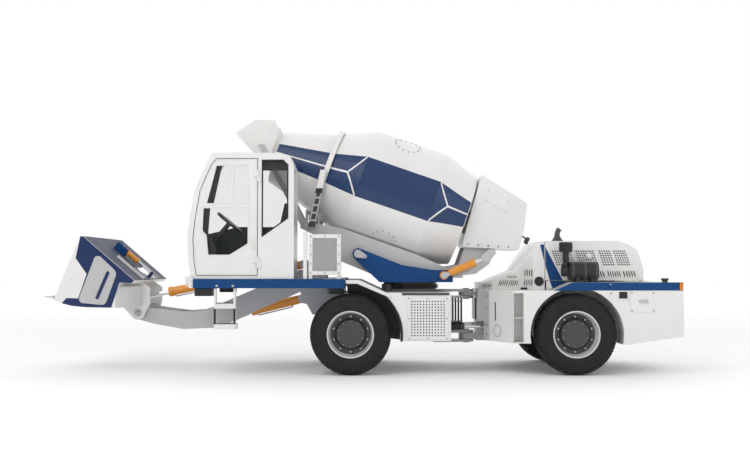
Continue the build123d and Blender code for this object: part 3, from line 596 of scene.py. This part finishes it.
def bend(before, here, after, reach, steps):
    """Points of a smooth bend at a corner, which begins and ends at a reach from it."""
    start = here + (before - here).normalized() * reach
    end = here + (after - here).normalized() * reach
    shares = [step / steps for step in range(steps + 1)]
    return [start.lerp(here, share).lerp(here.lerp(end, share), share) for share in shares]


def rounded(outline, radius):
    """An outline with its corners rounded."""
    result = []
    for before, here, after in corners_of([Vector(place) for place in outline]):
        reach = min(radius, (before - here).length * 0.45, (after - here).length * 0.45)
        result += [tuple(place) for place in bend(before, here, after, reach, ROUND_STEPS)]
    return result


def capsule(start, end, first, second):
    """Outline round two circles, such as a slot or a pin's keeper plate."""
    run = Vector(end) - Vector(start)
    heading = math.atan2(run.y, run.x)
    outline = []
    for centre, radius, low in ((end, second, heading - math.pi / 2), (start, first, heading + math.pi / 2)):
        for step in range(CAPSULE_STEPS + 1):
            turn = low + math.pi * step / CAPSULE_STEPS
            outline.append((centre[0] + radius * math.cos(turn), centre[1] + radius * math.sin(turn)))
    return outline


def tube(name, points, radius, paint_name, body):
    """A bent pipe through points with rounded bends."""
    curve = bpy.data.curves.new(name, "CURVE")
    curve.dimensions = "3D"
    curve.bevel_depth = radius * MM
    curve.bevel_resolution = 3
    curve.use_fill_caps = True
    places = [Vector(place) for place in points]
    path = places[:1]
    for before, here, after in zip(places, places[1:], places[2:]):
        reach = min((before - here).length, (after - here).length) * 0.4
        path += bend(before, here, after, min(reach, radius * 5), PIPE_STEPS)
    path.append(places[-1])
    spline = curve.splines.new("POLY")
    spline.points.add(len(path) - 1)
    for knot, place in zip(spline.points, path):
        knot.co = (*(place * MM), 1)
    curve.materials.append(PAINTS[paint_name])
    obj = bpy.data.objects.new(name, curve)
    bpy.context.scene.collection.objects.link(obj)
    spline.use_smooth = True
    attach(obj, body)


# Main bodies, sides of the machine and the Y of its upright faces

FRONT = "front_frame"
REAR = "rear_frame"
SIDES = (("left", -1), ("right", 1))
WING_Y = 1100
HOOD_Y = 740
LATCH_Y = 640
CHEEK_Y = 970
CAB_Y = 1120
DECK_Y = 1150
BOX_Y = 1130
TANK_Y = 1080
FENDER_Y = 1098
COVER_Y = 420
SLEW_Y = 640
BASE_Y = 725
STRAP_Y = 606
CLEANER_Y = -930


# Tail: stripes, grilles, doors and fillers of the rear body

STRIPE = [(2292, 1014), (2310, 1022), (2518, 1116), (3843, 1116), (3843, 1018), (2440, 1018)]
HOOD_BAND = [(2253, 1548), (2465, 1137), (2303, 1137), (2253, 1320)]
NOSE_BAND = [(2186, 1578), (2238, 1578), (2238, 1372)]
SILL = [(2340, 1042), (2474, 1106), (2500, 1128), (2306, 1128)]
SILL_END = [(2262, 1024), (2300, 1024), (2338, 1041), (2304, 1128), (2262, 1128)]
UPPER_GRILLES = ((2330, 2560), (2620, 2850), (2905, 3055), (3085, 3245))
LOWER_GRILLES = ((2520, 2700), (2845, 2965), (3000, 3165), (3190, 3350))
for label, side in SIDES:
    wing = side_face(side * WING_Y)
    hood_side = side_face(side * HOOD_Y)
    panel(f"stripe_{label}", wing, STRIPE, 0, COATING, "blue", REAR, 0)
    panel(f"hood_band_{label}", hood_side, HOOD_BAND, 0, COATING, "blue", "hood", 0)
    panel(f"nose_band_{label}", hood_side, NOSE_BAND, 0, COATING, "blue", REAR, 0)
    panel(f"hood_sill_{label}", hood_side, SILL, -14, -2, "blue", REAR, 1)
    panel(f"hood_sill_end_{label}", hood_side, SILL_END, -14, -2, "white", REAR, 1)
    lathe(f"hood_cap_{label}", [(0, 0.5), (0, 40), (10, 39), (20, 32), (27, 18), (29, 0.5)],
          (2787, side * HOOD_Y, 1431), (0, side, 0), 32, "white", "hood", closed=False)
    lathe(f"hinge_boss_{label}", [(0, 0.5), (0, 30), (8, 28), (8, 12), (4, 10), (4, 0.5)],
          (3410, side * HOOD_Y, 1168), (0, side, 0), 32, "white", "hood", closed=False)
    for number, span in enumerate(UPPER_GRILLES):
        perforated(f"hood_grille_{label}_{number}", hood_side, (span[0] + 60, span[1] + 60), (1318, 1508),
                   (int((span[1] - span[0]) / 26), 7), (0.74, 0.72), -0.35, 0.8, 4, "white", "hood", 0.25)
    for number, span in enumerate(LOWER_GRILLES):
        perforated(f"hood_louvre_{label}_{number}", hood_side, (span[0] + 30, span[1] + 30), (1168, 1262),
                   (int((span[1] - span[0]) / 27), 1), (0.56, 0.9), -0.3, 0.8, 4, "white", "hood")
    access = rectangle((3205, 3503), (757, 1010), 12)
    panel(f"access_door_{label}", wing, access, 0, 7, "white", REAR, 2)
    panel(f"access_handle_{label}", wing, rectangle((3312, 3420), (872, 906), 12), 7, 26, "grey", REAR, 4)
    bolts(f"access_screws_{label}", spots_on(wing, [(u, v) for u in (3225, 3483) for v in (777, 990)], 6),
          20, 6, "steel", REAR, 12)
    panel(f"vent_pocket_{label}", wing, rectangle((3068, 3176), (918, 1012), 6), 0.4, 1.0, "black", REAR, 0)
    border(f"vent_frame_{label}", wing, rectangle((3060, 3184), (910, 1016)), 12, 0, 8, "white", REAR)
    bolts(f"stripe_rivets_{label}", spots_on(wing, [(2972, 1092), (2980, 985)], 1), 22, 6, "steel",
          REAR, 12)
    slope = Face((1630, side * 420, 0), (306, side * 130, 0), (0, 0, 1), (-130, side * 306, 0))
    snout = Face((1471, side * 250, 0), (159, side * 170, 0), (0, 0, 1), (-170, side * 159, 0))
    corner = Face((1936, side * 550, 0), (164, side * 190, 0), (0, 0, 1), (-190, side * 164, 0))
    for level, (face, u_span, v_span, slots, lean) in enumerate((
            (snout, (60, 215), (1046, 1088), 5, 0.3), (slope, (70, 190), (1057, 1146), 5, 0.35),
            (slope, (200, 320), (1057, 1146), 5, 0.35), (slope, (190, 310), (1158, 1196), 5, 0.35),
            (corner, (90, 240), (1059, 1160), 5, 0.1), (corner, (100, 240), (1172, 1282), 4, 0.12))):
        perforated(f"nose_louvre_{label}_{level}", face, u_span, v_span, (slots, 1), (0.56, 0.9), lean, 0.8,
                   4, "white", REAR)
    panel(f"nose_latch_{label}", side_face(side * LATCH_Y), rectangle((1955, 2035), (1021, 1046), 5), 0, 40,
          "black", REAR, 2)
    lathe(f"filler_{label}", [(0, 0.5), (0, 58), (8, 58), (12, 55), (12, 46), (5, 44), (5, 0.5)],
          (2172, side * HOOD_Y, 1124), (0, side, 0), 40, "black", REAR, closed=False)
    lathe(f"tail_cap_{label}", [(0, 0.5), (0, 34), (22, 34), (24, 45), (44, 45), (48, 40), (48, 0.5)],
          (3640, side * 1040, 1117), (0, 0, 1), 32, "black", REAR, closed=False)
    panel(f"side_lamp_{label}", wing, rectangle((3800, 3842), (1024, 1110), 8), COATING, 14, "amber",
          REAR, 4)


# Articulation: guard cage between the forks, guard plate, hinge strip and hatch of the step box

for number, (x, y) in enumerate(((1120, -86), (1156, -84), (1192, -78), (1230, -70), (1268, -60))):
    tube(f"cage_bar_{number}", [(x, y, 484), (x, y, 900)], 12 if number else 18, "black", FRONT)
for number, z in enumerate((600, 860)):
    tube(f"cage_rail_{number}", [(1104, -98, z), (1190, -92, z), (1284, -68, z)], 7, "steel", FRONT)
panel("pivot_guard", Face((1440, 0, 0), (0, 1, 0), (0, 0, 1), (-1, 0, 0)),
      rectangle((-170, 170), (626, 900), 12), -8, 6, "dark", REAR, 3)
for label, side in SIDES:
    taper = Face((1520, side * 576, 0), (280, side * 504, 0), (0, 0, 1), (-504, side * 280, 0))
    panel(f"box_strip_{label}", taper, rectangle((6, 96), (396, 1014), 6), 0, 6, "grey", REAR, 2)
    bolts(f"box_bolts_{label}", spots_on(taper, [(50, v) for v in (470, 590, 790, 940)], 6), 26, 8, "steel",
          REAR)
    panel(f"box_grip_{label}", taper, capsule((230, 655), (230, 860), 13, 13), 0.4, 1.4, "black", REAR, 0)
    border(f"box_grip_edge_{label}", taper, capsule((230, 655), (230, 860), 26, 26), 12, 0, 7, "white",
           REAR)
    border(f"box_hatch_{label}", taper, disc(262, 520, 78, 40), 9, 0, 4, "grey", REAR)
    panel(f"box_hatch_lid_{label}", taper, disc(262, 520, 66, 40), 0, 3, "white", REAR, 1)


# Face-by-face paint on the solids

def repaint(node, paint_name, test):
    """Gives another paint to a solid's faces whose middle, in millimetres, and normal pass a test."""
    obj = NODES[node]
    mesh = obj.data
    mesh.materials.append(PAINTS[paint_name])
    slot_number = len(mesh.materials) - 1
    turn = obj.matrix_world.to_3x3()
    for polygon in mesh.polygons:
        middle = obj.matrix_world @ polygon.center / MM
        if test(middle, (turn @ polygon.normal).normalized()):
            polygon.material_index = slot_number


SHEET_NORMAL = Vector((0.651, 0, 0.759))
SHEET_FOOT = Vector((-2761, 0, 1138))
SHEET_RUN = Vector((-0.759, 0, 0.651))
# The bucket's top sheet, picked by its normal, gets the greyer blue: painted sheen
repaint("bucket_shell", "painted_sheen_blue", lambda p, n: n.dot(SHEET_NORMAL) > 0.96 and abs(p.y) < 968)
repaint("bucket_shell", "steel", lambda p, n: p.x < -3660 and p.z < 960 and abs(p.y) < 968)
repaint("gate_barrel", "blue", lambda p, n: (p - SHEET_FOOT).dot(SHEET_RUN) > 571)
repaint("bucket_gate", "chrome", lambda p, n: abs(p.y) < 17 and (p - SHEET_FOOT).dot(SHEET_RUN) > 71)
repaint("drum_strap", "white", lambda p, n: p.z > 2440)
# The deck's faces below Z 1040 get the dark paint: painted shade under the deck
repaint("deck", "dark", lambda p, n: p.z < 1040)


# Bucket: blue sides, grey wear plates with a slot, lip and gate fittings

BUCKET_BLUE = [(-3424, 1672), (-3391, 1672), (-2767, 1137), (-2801, 1103), (-2943, 1113), (-3041, 809),
               (-3350, 815), (-3516, 831), (-3640, 862), (-3584, 925), (-3442, 921), (-3343, 1216),
               (-3479, 1408)]
BUCKET_WEAR = [(-3244, 1428), (-3186, 1436), (-2972, 1236), (-3112, 838), (-3408, 866), (-3436, 910)]
for label, side in SIDES:
    cheek = side_face(side * CHEEK_Y)
    panel(f"bucket_blue_{label}", cheek, BUCKET_BLUE, 0, COATING, "deep_blue", "bucket", 0)
    panel(f"bucket_wear_{label}", cheek, rounded(BUCKET_WEAR, 55), COATING, 11, "grey", "bucket", 3)
    panel(f"bucket_slot_{label}", cheek, capsule((-3083, 1230), (-3208, 930), 21, 21), 11, 11.8,
          "deep_blue", "bucket", 0)
    border(f"bucket_slot_edge_{label}", cheek, capsule((-3083, 1230), (-3208, 930), 26, 26), 6, 11, 14,
           "grey", "bucket")
bolts("bucket_pin_caps", [((-2845, side * 424, 720), (0, side, 0)) for side in (-1, 1)], 52, 8, "steel",
      "bucket_pin", 24)
sheet_top = Face(SHEET_FOOT, SHEET_RUN, (0, 1, 0), SHEET_NORMAL)
BRACKET_THICK = 12
for name, low in (("gate_bracket", -44), ("gate_bracket_far", 32)):
    high = low + BRACKET_THICK
    plate = rounded([(470, low), (646, low), (646, high), (470, high)], 4)
    panel(name, sheet_top, plate, 0, 96, "blue", "bucket", 3)
lathe("gate_gland", [(0, 17), (0, 37), (3, 40), (27, 40), (30, 37), (30, 17)],
      SHEET_FOOT + SHEET_RUN * 289 + SHEET_NORMAL * 60, SHEET_RUN, 32, "orange", "bucket")
bolts("lip_bolts", [((-3755, y, 930), (-0.18, 0, 0.98)) for y in range(-880, 881, 220)], 30, 12, "steel",
      "bucket")


# Cab: seals, black sheets of painted shade inside it, handle and door trim

CAB_SIDE = side_face(-CAB_Y)
SEAL_BACK = -13.5
SEAL_FRONT = 3
SHADE_BACK = -27
SHADE_FRONT = -25
DOOR = [(-1262, 1200), (-1262, 2600), (-1752, 2600), (-1814, 2528), (-1946, 2222), (-2004, 1874),
        (-2030, 1640), (-2012, 1350), (-1985, 1200)]
PANES = (
    [(-1758, 2525), (-1590, 2525), (-1590, 2057), (-1878, 2057)],
    [(-1554, 2525), (-1368, 2525), (-1368, 2057), (-1554, 2057)],
    [(-1914, 2014), (-1368, 2014), (-1368, 1577), (-1590, 1439), (-1854, 1439), (-1878, 1679), (-1926, 1733)],
)
QUARTER = [(-1210, 2590), (-950, 2590), (-890, 2530), (-890, 1883), (-1210, 1655)]
border("door_seal", CAB_SIDE, shrunk(DOOR, -8), 5.5, -36, -8, "black", FRONT)
for number, pane in enumerate(PANES):
    border(f"pane_seal_{number}", CAB_SIDE, pane, 9, SEAL_BACK, SEAL_FRONT, "white", "door")
border("quarter_seal", CAB_SIDE, QUARTER, 16, SEAL_BACK, SEAL_FRONT, "black", FRONT)
# Black sheets just behind the glass: painted shade inside the cab
panel("quarter_shade", CAB_SIDE, [(-1206, 2586), (-952, 2586), (-894, 2528), (-894, 2460), (-1206, 2460)],
      SHADE_BACK, SHADE_FRONT, "black", FRONT, 0)
panel("front_shade_upper", CAB_SIDE, [(-1870, 2060), (-1762, 2520), (-1690, 2520), (-1790, 2060)],
      SHADE_BACK, SHADE_FRONT, "black", "door", 0)
panel("front_shade_lower", CAB_SIDE, [(-1911, 2012), (-1830, 2012), (-1850, 1740), (-1850, 1442),
                                      (-1857, 1442), (-1881, 1680), (-1923, 1735)], SHADE_BACK, SHADE_FRONT,
      "black", "door", 0)
# A black sheet inside the cab behind the lower glass: painted shade in the cab
FAR_SHADE_SHEET = Face((0, -570, 0), (1, 0, 0), (0, 0, 1), (0, -1, 0))
panel("far_shade_sheet", FAR_SHADE_SHEET, [(-1990, 1200), (-870, 1200), (-870, 1800), (-1560, 1800), (-2030, 1690)],
      1, 9, "black", FRONT, 3)
panel("handle_plate", CAB_SIDE, rectangle((-1338, -1288), (1500, 1640), 14), 0, 4, "white", "door", 2)
tube("door_handle", [(-1313, -1122, 1520), (-1313, -1142, 1530), (-1313, -1142, 1610),
                     (-1313, -1122, 1620)], 7, "white", "door")
border("door_crease", CAB_SIDE, shrunk(DOOR, 10), 5, 0, 2, "white", "door")
tube("wiper_arm", [(-2084, -820, 1775), (-2096, -815, 1790), (-2068, -700, 2010)], 7, "black", FRONT)


# Deck, steps and what hangs under them

DECK_EDGE = side_face(-DECK_Y)
for number, x in enumerate((-1740, -1547)):
    panel(f"deck_bolt_{number}", DECK_EDGE, disc(x, 1074, 15, 24), -0.5, 0.25, "grey", FRONT, 0)
GUARD = Face((-2022, 0, 0), (0, 1, 0), (0, 0, 1), (-1, 0, 0))
for label, side in SIDES:
    span = tuple(sorted((side * 985, side * 1146)))
    panel(f"deck_guard_{label}", GUARD, rectangle(span, (1050, 1205), 14), 0, 62, "white", FRONT, 8)
    panel(f"deck_buffer_{label}", GUARD, rectangle((span[0] + 20, span[1] - 20), (1075, 1180), 10), 62, 98,
          "white", FRONT, 6)
    bolts(f"guard_bolts_{label}", [((-2036, side * 1146, z), (0, side, 0)) for z in (1075, 1128, 1180)], 20,
          3.6, "grey", FRONT)
    panel(f"battery_box_{label}", side_face(side * BOX_Y), rectangle((-2008, -1800), (952, 1045), 10), -260,
          0, "black", FRONT, 5)
for number, x in enumerate((-1762.5, -1528.5)):
    panel(f"step_link_{number}", side_face(-BOX_Y), rectangle((x - 13, x + 13), (618, 802)), 0, 4, "black",
          FRONT, 1)
for number, height in enumerate((863, 617)):
    tread = Face((-1646, -1015, height), (1, 0, 0), (0, 1, 0), (0, 0, 1))
    perforated(f"step_grip_{number}", tread, (-118, 118), (-100, 100), (9, 7), (0.5, 0.5), 0, 0.8, 6,
               "steel", FRONT)


# Oil cooler: bolted frame round a fine screen

COOLER = side_face(-CAB_Y)
border("cooler_frame", COOLER, rectangle((-644, -260), (1205, 1692)), 46, 0, 9, "white", FRONT)
perforated("cooler_screen", COOLER, (-598, -306), (1251, 1646), (26, 34), (0.6, 0.6), 0, 0.8, 4, "grey",
           FRONT)
frame_bolts = [(u, v) for u in (-620, -452, -284) for v in (1229, 1668)]
frame_bolts += [(u, v) for u in (-620, -284) for v in (1339, 1449, 1558)]
bolts("cooler_bolts", spots_on(COOLER, frame_bolts, 8), 20, 7, "steel", FRONT)


# Tanks: perforated panels, and fenders over the front wheels

FENDER = [(-205, 1142), (-40, 1142), (352, 962), (330, 930), (-62, 1098), (-205, 1098)]
ARC_STEPS = 26


def arc_plate(name, radii, angles, y_span, paint_name):
    """A curved plate round the front axle."""
    points = []
    faces = []
    for step in range(ARC_STEPS + 1):
        turn = math.radians(angles[0] + (angles[1] - angles[0]) * step / ARC_STEPS)
        for radius in radii:
            for y in y_span:
                points.append((FRONT_AXLE_X + radius * math.cos(turn), y, AXLE_Z + radius * math.sin(turn)))
    for low in range(0, ARC_STEPS * 4, 4):
        faces += [(low + a, low + b, low + 4 + b, low + 4 + a) for a, b in ((0, 1), (1, 3), (3, 2), (2, 0))]
    faces += [(0, 1, 3, 2), tuple(ARC_STEPS * 4 + i for i in (0, 1, 3, 2))]
    piece(name, points, faces, paint_name, FRONT)


for label, side in SIDES:
    tank = side_face(side * TANK_Y)
    border(f"tank_frame_{label}", tank, rectangle((540, 1030), (430, 936)), 34, 0, 7, "white", FRONT)
    perforated(f"tank_panel_{label}", tank, (574, 996), (464, 902), (12, 13), (0.52, 0.52), 0, 0.8, 5,
               "white", FRONT)
    tank_bolts = [(u, v) for u in (557, 785, 1013) for v in (447, 919)] + [(u, 683) for u in (557, 1013)]
    bolts(f"tank_bolts_{label}", spots_on(tank, tank_bolts, 6), 18, 6, "steel", FRONT)
    arc_plate(f"mudguard_{label}", (610, 625), (-8, 50), (side * 700, side * FENDER_Y), "black")
    arc_plate(f"arch_liner_{label}", (430, 608), (-8, 95), (side * 688, side * 700), "black")
    panel(f"fender_{label}", side_face(side * FENDER_Y), FENDER, -398, 0, "white", FRONT, 6)
    panel(f"tank_lid_{label}", tank, rectangle((474, 1040), (962, 989), 4), 0, 9, "dark", FRONT, 2)


# Drum drive cover, slewing ring and pin keepers

for label, side in SIDES:
    cover = side_face(side * COVER_Y)
    hatch = rounded([(1576, 2300), (1859, 2130), (1830, 1975), (1548, 2145)], 14)
    panel(f"cover_hatch_{label}", cover, hatch, 0, 4, "white", "cradle", 1.5)
    screws = [(1588, 2276), (1840, 2126), (1818, 1998), (1566, 2150)]
    bolts(f"hatch_screws_{label}", spots_on(cover, screws, 3), 14, 4, "steel", "cradle", 12)
    foot = [(1330 + 127 * i, 1589 - 9 * i) for i in range(5)]
    bolts(f"cover_bolts_{label}", spots_on(cover, foot), 26, 9, "steel", "cradle")
    slew_side = side_face(side * SLEW_Y)
    panel(f"pivot_keeper_{label}", slew_side, capsule((-61, 1465), (24, 1432), 52, 26), 0, 9, "grey",
          "slew_frame", 2)
    bolts(f"keeper_bolts_{label}", spots_on(slew_side, [(22, 1433)], 8), 24, 8, "steel", "slew_frame")
    base_side = side_face(side * BASE_Y)
    panel(f"base_keeper_{label}", base_side, capsule((1004, 1197), (1052, 1211), 40, 24), 0, 8, "grey",
          "slew_frame", 2)
SLEW_TEETH = 96
teeth = [(0, 344), (0, 362), (46, 362), (46, 344)]
lathe("slew_teeth", teeth, (607, 0, 1032), (0, 0, 1), SLEW_TEETH * 4, "dark", FRONT,
      cut=lambda row, step: 9 if row in (1, 2) and step % 4 in (0, 1) else 0)
lathe("slew_pinion_cover", [(0, 0.5), (0, 66), (84, 66), (90, 60), (90, 0.5)], (300, -470, 1000), (0, 0, 1),
      40, "dark", FRONT, closed=False)
tube("lamp_bracket", [(2030, -250, 1700), (2075, -250, 1668)], 10, "black", "cradle")
lathe("work_lamp", [(-26, 0.5), (-26, 30), (-10, 46), (20, 50), (26, 48), (26, 0.5)], (2092, -250, 1640),
      (0.9, 0, -0.44), 36, "dark", "cradle", closed=False)


# Drum strap: white end, buckle and ladder-shaped bracket on each side

STRAP_FOOT = 1800
STRAP_TALL = 720
STRAP_FRONT = -690
STRAP_REAR = -600
FRONT_LEAN = 155
REAR_LEAN = 145

def strap_place(share, z):
    """X across the slanted bracket, from its front edge at 0 to its rear edge at 1."""
    rise = (z - STRAP_FOOT) / STRAP_TALL
    front = STRAP_FRONT + FRONT_LEAN * rise
    rear = STRAP_REAR + REAR_LEAN * rise
    return front + (rear - front) * share


def strap_patch(low, high, first=0.02, last=0.98):
    """Outline of a stretch of the bracket between two heights and two shares of its width."""
    return [(strap_place(first, low), low), (strap_place(last, low), low), (strap_place(last, high), high),
            (strap_place(first, high), high)]


for label, side in SIDES:
    strap_side = side_face(side * STRAP_Y)
    panel(f"strap_end_{label}", strap_side, strap_patch(2284, 2518), 0, 3, "white", "cradle", 0)
    panel(f"strap_buckle_{label}", strap_side, strap_patch(2226, 2282), 0, 14, "black", "cradle", 3)
    for number, (first, last) in enumerate(((0.02, 0.20), (0.80, 0.98))):
        panel(f"strap_rail_{label}_{number}", strap_side, strap_patch(1862, 2222, first, last), 0, 9,
              "grey", "cradle", 2)
    for number, z in enumerate((1872, 1965, 2060, 2155)):
        panel(f"strap_rung_{label}_{number}", strap_side, strap_patch(z, z + 24, 0.2, 0.8), 0, 8, "grey",
              "cradle", 2)


# Cylinders: glands and pressure pipes

GLANDS = (("tilt_barrel", (-770, 0, 1338), (-2865, 0, 908), 1800, 55, (0,)),
          ("lift_barrel", (-788, 0, 892), (-1720, 0, 666), 690, 58, (0,)),
          ("drum_lift_barrel", (1004, 0, 1197), (1521, 0, 1413), 420, 45, (-675, 675)))
for body, base, eye, length, radius, rows in GLANDS:
    for number, y in enumerate(rows):
        start = Vector((base[0], y, base[2]))
        run = (Vector(eye) - Vector(base)).normalized()
        over = Vector((-run.z, 0, run.x))
        over = over if over.z < 0 else -over
        grip = [(0, radius - 8), (0, radius + 3), (4, radius + 8), (58, radius + 8), (62, radius + 4),
                (62, radius - 8)]
        lathe(f"{body}_gland_{number}", grip, start + run * (length - 64), run, 40, "orange", body)
        pipe = [start + run * 150 + over * (radius - 2), start + run * 160 + over * (radius + 17),
                start + run * (length - 85) + over * (radius + 17),
                start + run * (length - 76) + over * (radius - 2)]
        tube(f"{body}_pipe_{number}", pipe, 9, "steel", body)
for name, side in SIDES:
    base = Vector((750, side * 330, 548))
    run = (Vector((1600, side * 290, 548)) - base).normalized()
    lathe(f"steer_gland_{name}", [(0, 34), (0, 43), (3, 46), (40, 46), (44, 42), (44, 34)],
          base + run * 490, run, 32, "dark", f"steer_barrel_{name}")


# Exhaust: flared foot and a curved mouth; each row is an X, a Z and a radius

STACK = ((2530, 1622, 84), (2530, 1634, 84), (2530, 1658, 66), (2529, 1682, 48), (2528, 1706, 38),
         (2529, 1732, 34), (2534, 1756, 33), (2544, 1778, 33), (2560, 1798, 34), (2558, 1795, 29),
         (2543, 1776, 28), (2534, 1752, 27))
STACK_STEPS = 32
MOUTH_TURN = 40
MOUTH_FOOT = 1732
MOUTH_TALL = 62
stack_points = []
for x, z, radius in STACK:
    heading = math.radians(90 - MOUTH_TURN * max(0.0, min(1.0, (z - MOUTH_FOOT) / MOUTH_TALL)))
    side_way = Vector((math.sin(heading), 0, -math.cos(heading)))
    for step in range(STACK_STEPS):
        turn = math.tau * step / STACK_STEPS
        reach = side_way * math.cos(turn) + Vector((0, 1, 0)) * math.sin(turn)
        stack_points.append(Vector((x, 0, z)) + reach * radius)
stack_faces = ring_faces(len(STACK), STACK_STEPS)
stack_faces.append(tuple(range(STACK_STEPS)))
stack_faces.append(tuple(range((len(STACK) - 1) * STACK_STEPS, len(STACK) * STACK_STEPS)))
exhaust = piece("exhaust_pipe", stack_points, stack_faces, "dark", "hood", 40)
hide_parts("exhaust_stack")


# Air cleaner bands and inlet ribs

for number, x in enumerate((2545, 2690, 2825)):
    lathe(f"cleaner_band_{number}", [(0, 110), (0, 115), (26, 115), (26, 110)], (x - 13, CLEANER_Y, 1253),
          (1, 0, 0), 48, "dark", REAR)
for number, z in enumerate((1500, 1530, 1560)):
    lathe(f"inlet_rib_{number}", [(0, 78), (0, 84), (10, 86), (14, 78)], (2470, CLEANER_Y, z), (0, 0, 1),
          40, "black", REAR)


# Stage, camera and light

def area_light(name, place, target, size, power):
    """Soft square light aimed at a point."""
    light = bpy.data.lights.new(name, "AREA")
    light.size = size
    light.energy = power
    lamp = bpy.data.objects.new(name, light)
    bpy.context.scene.collection.objects.link(lamp)
    lamp.location = place
    lamp.rotation_euler = (Vector(target) - Vector(place)).to_track_quat("-Z", "Y").to_euler()


scene = bpy.context.scene
FLOOR_HALF = 60
floor_mesh = bpy.data.meshes.new("floor")
floor_mesh.from_pydata([(-FLOOR_HALF, -FLOOR_HALF, 0), (FLOOR_HALF, -FLOOR_HALF, 0),
                        (FLOOR_HALF, FLOOR_HALF, 0), (-FLOOR_HALF, FLOOR_HALF, 0)], [], [(0, 1, 2, 3)])
floor = bpy.data.objects.new("floor", floor_mesh)
scene.collection.objects.link(floor)
floor_paint, floor_tree, floor_surface = shader("pale_floor")
mottle(floor_tree, floor_surface, noise(floor_tree, 0.4), (0.95, 0.95, 0.95), (0.97, 0.97, 0.97))
floor_surface.inputs["Roughness"].default_value = 0.9
floor_surface.inputs["Emission Color"].default_value = (1, 1, 1, 1)
floor_place = floor_tree.nodes.new("ShaderNodeTexCoord")
floor_reach = floor_tree.nodes.new("ShaderNodeVectorMath")
floor_reach.operation = "LENGTH"
floor_tree.links.new(floor_place.outputs["Object"], floor_reach.inputs[0])
floor_glow = spread(floor_tree, floor_reach.outputs["Value"], 0.03, 0.22, 4, 26)
floor_tree.links.new(floor_glow.outputs["Result"], floor_surface.inputs["Emission Strength"])
floor_mesh.materials.append(floor_paint)

world = bpy.data.worlds.new("studio")
world.use_nodes = True
world_tree = world.node_tree
sky = world_tree.nodes["Background"]
sky.inputs["Color"].default_value = (1, 1, 1, 1)
direction = world_tree.nodes.new("ShaderNodeTexCoord")
parts = world_tree.nodes.new("ShaderNodeSeparateXYZ")
world_tree.links.new(direction.outputs["Generated"], parts.inputs["Vector"])
glow = spread(world_tree, parts.outputs["Y"], 0.42, 1.0, -0.3, 0.55)
world_tree.links.new(glow.outputs["Result"], sky.inputs["Strength"])
scene.world = world
area_light("key", (-5.0, -9.0, 9.0), (0, 0, 1.2), 7.0, 420)
area_light("fill", (7.0, -8.0, 5.0), (0, 0, 1.2), 6.0, 150)
area_light("top", (0.0, 2.0, 14.0), (0, 0, 1.0), 120.0, 8500)

CAMERA_PLACE = (0.150, -13.6, 1.289)
CAMERA_PITCH = 2.36
camera_data = bpy.data.cameras.new("photo_camera")
camera_data.lens = 50
camera_data.sensor_width = 36
camera = bpy.data.objects.new("photo_camera", camera_data)
scene.collection.objects.link(camera)
camera.location = CAMERA_PLACE
camera.rotation_euler = (math.radians(90 + CAMERA_PITCH), 0, 0)
scene.camera = camera
scene.render.engine = "CYCLES"
scene.render.resolution_x = 1500
scene.render.resolution_y = 900
scene.view_settings.view_transform = "Standard"
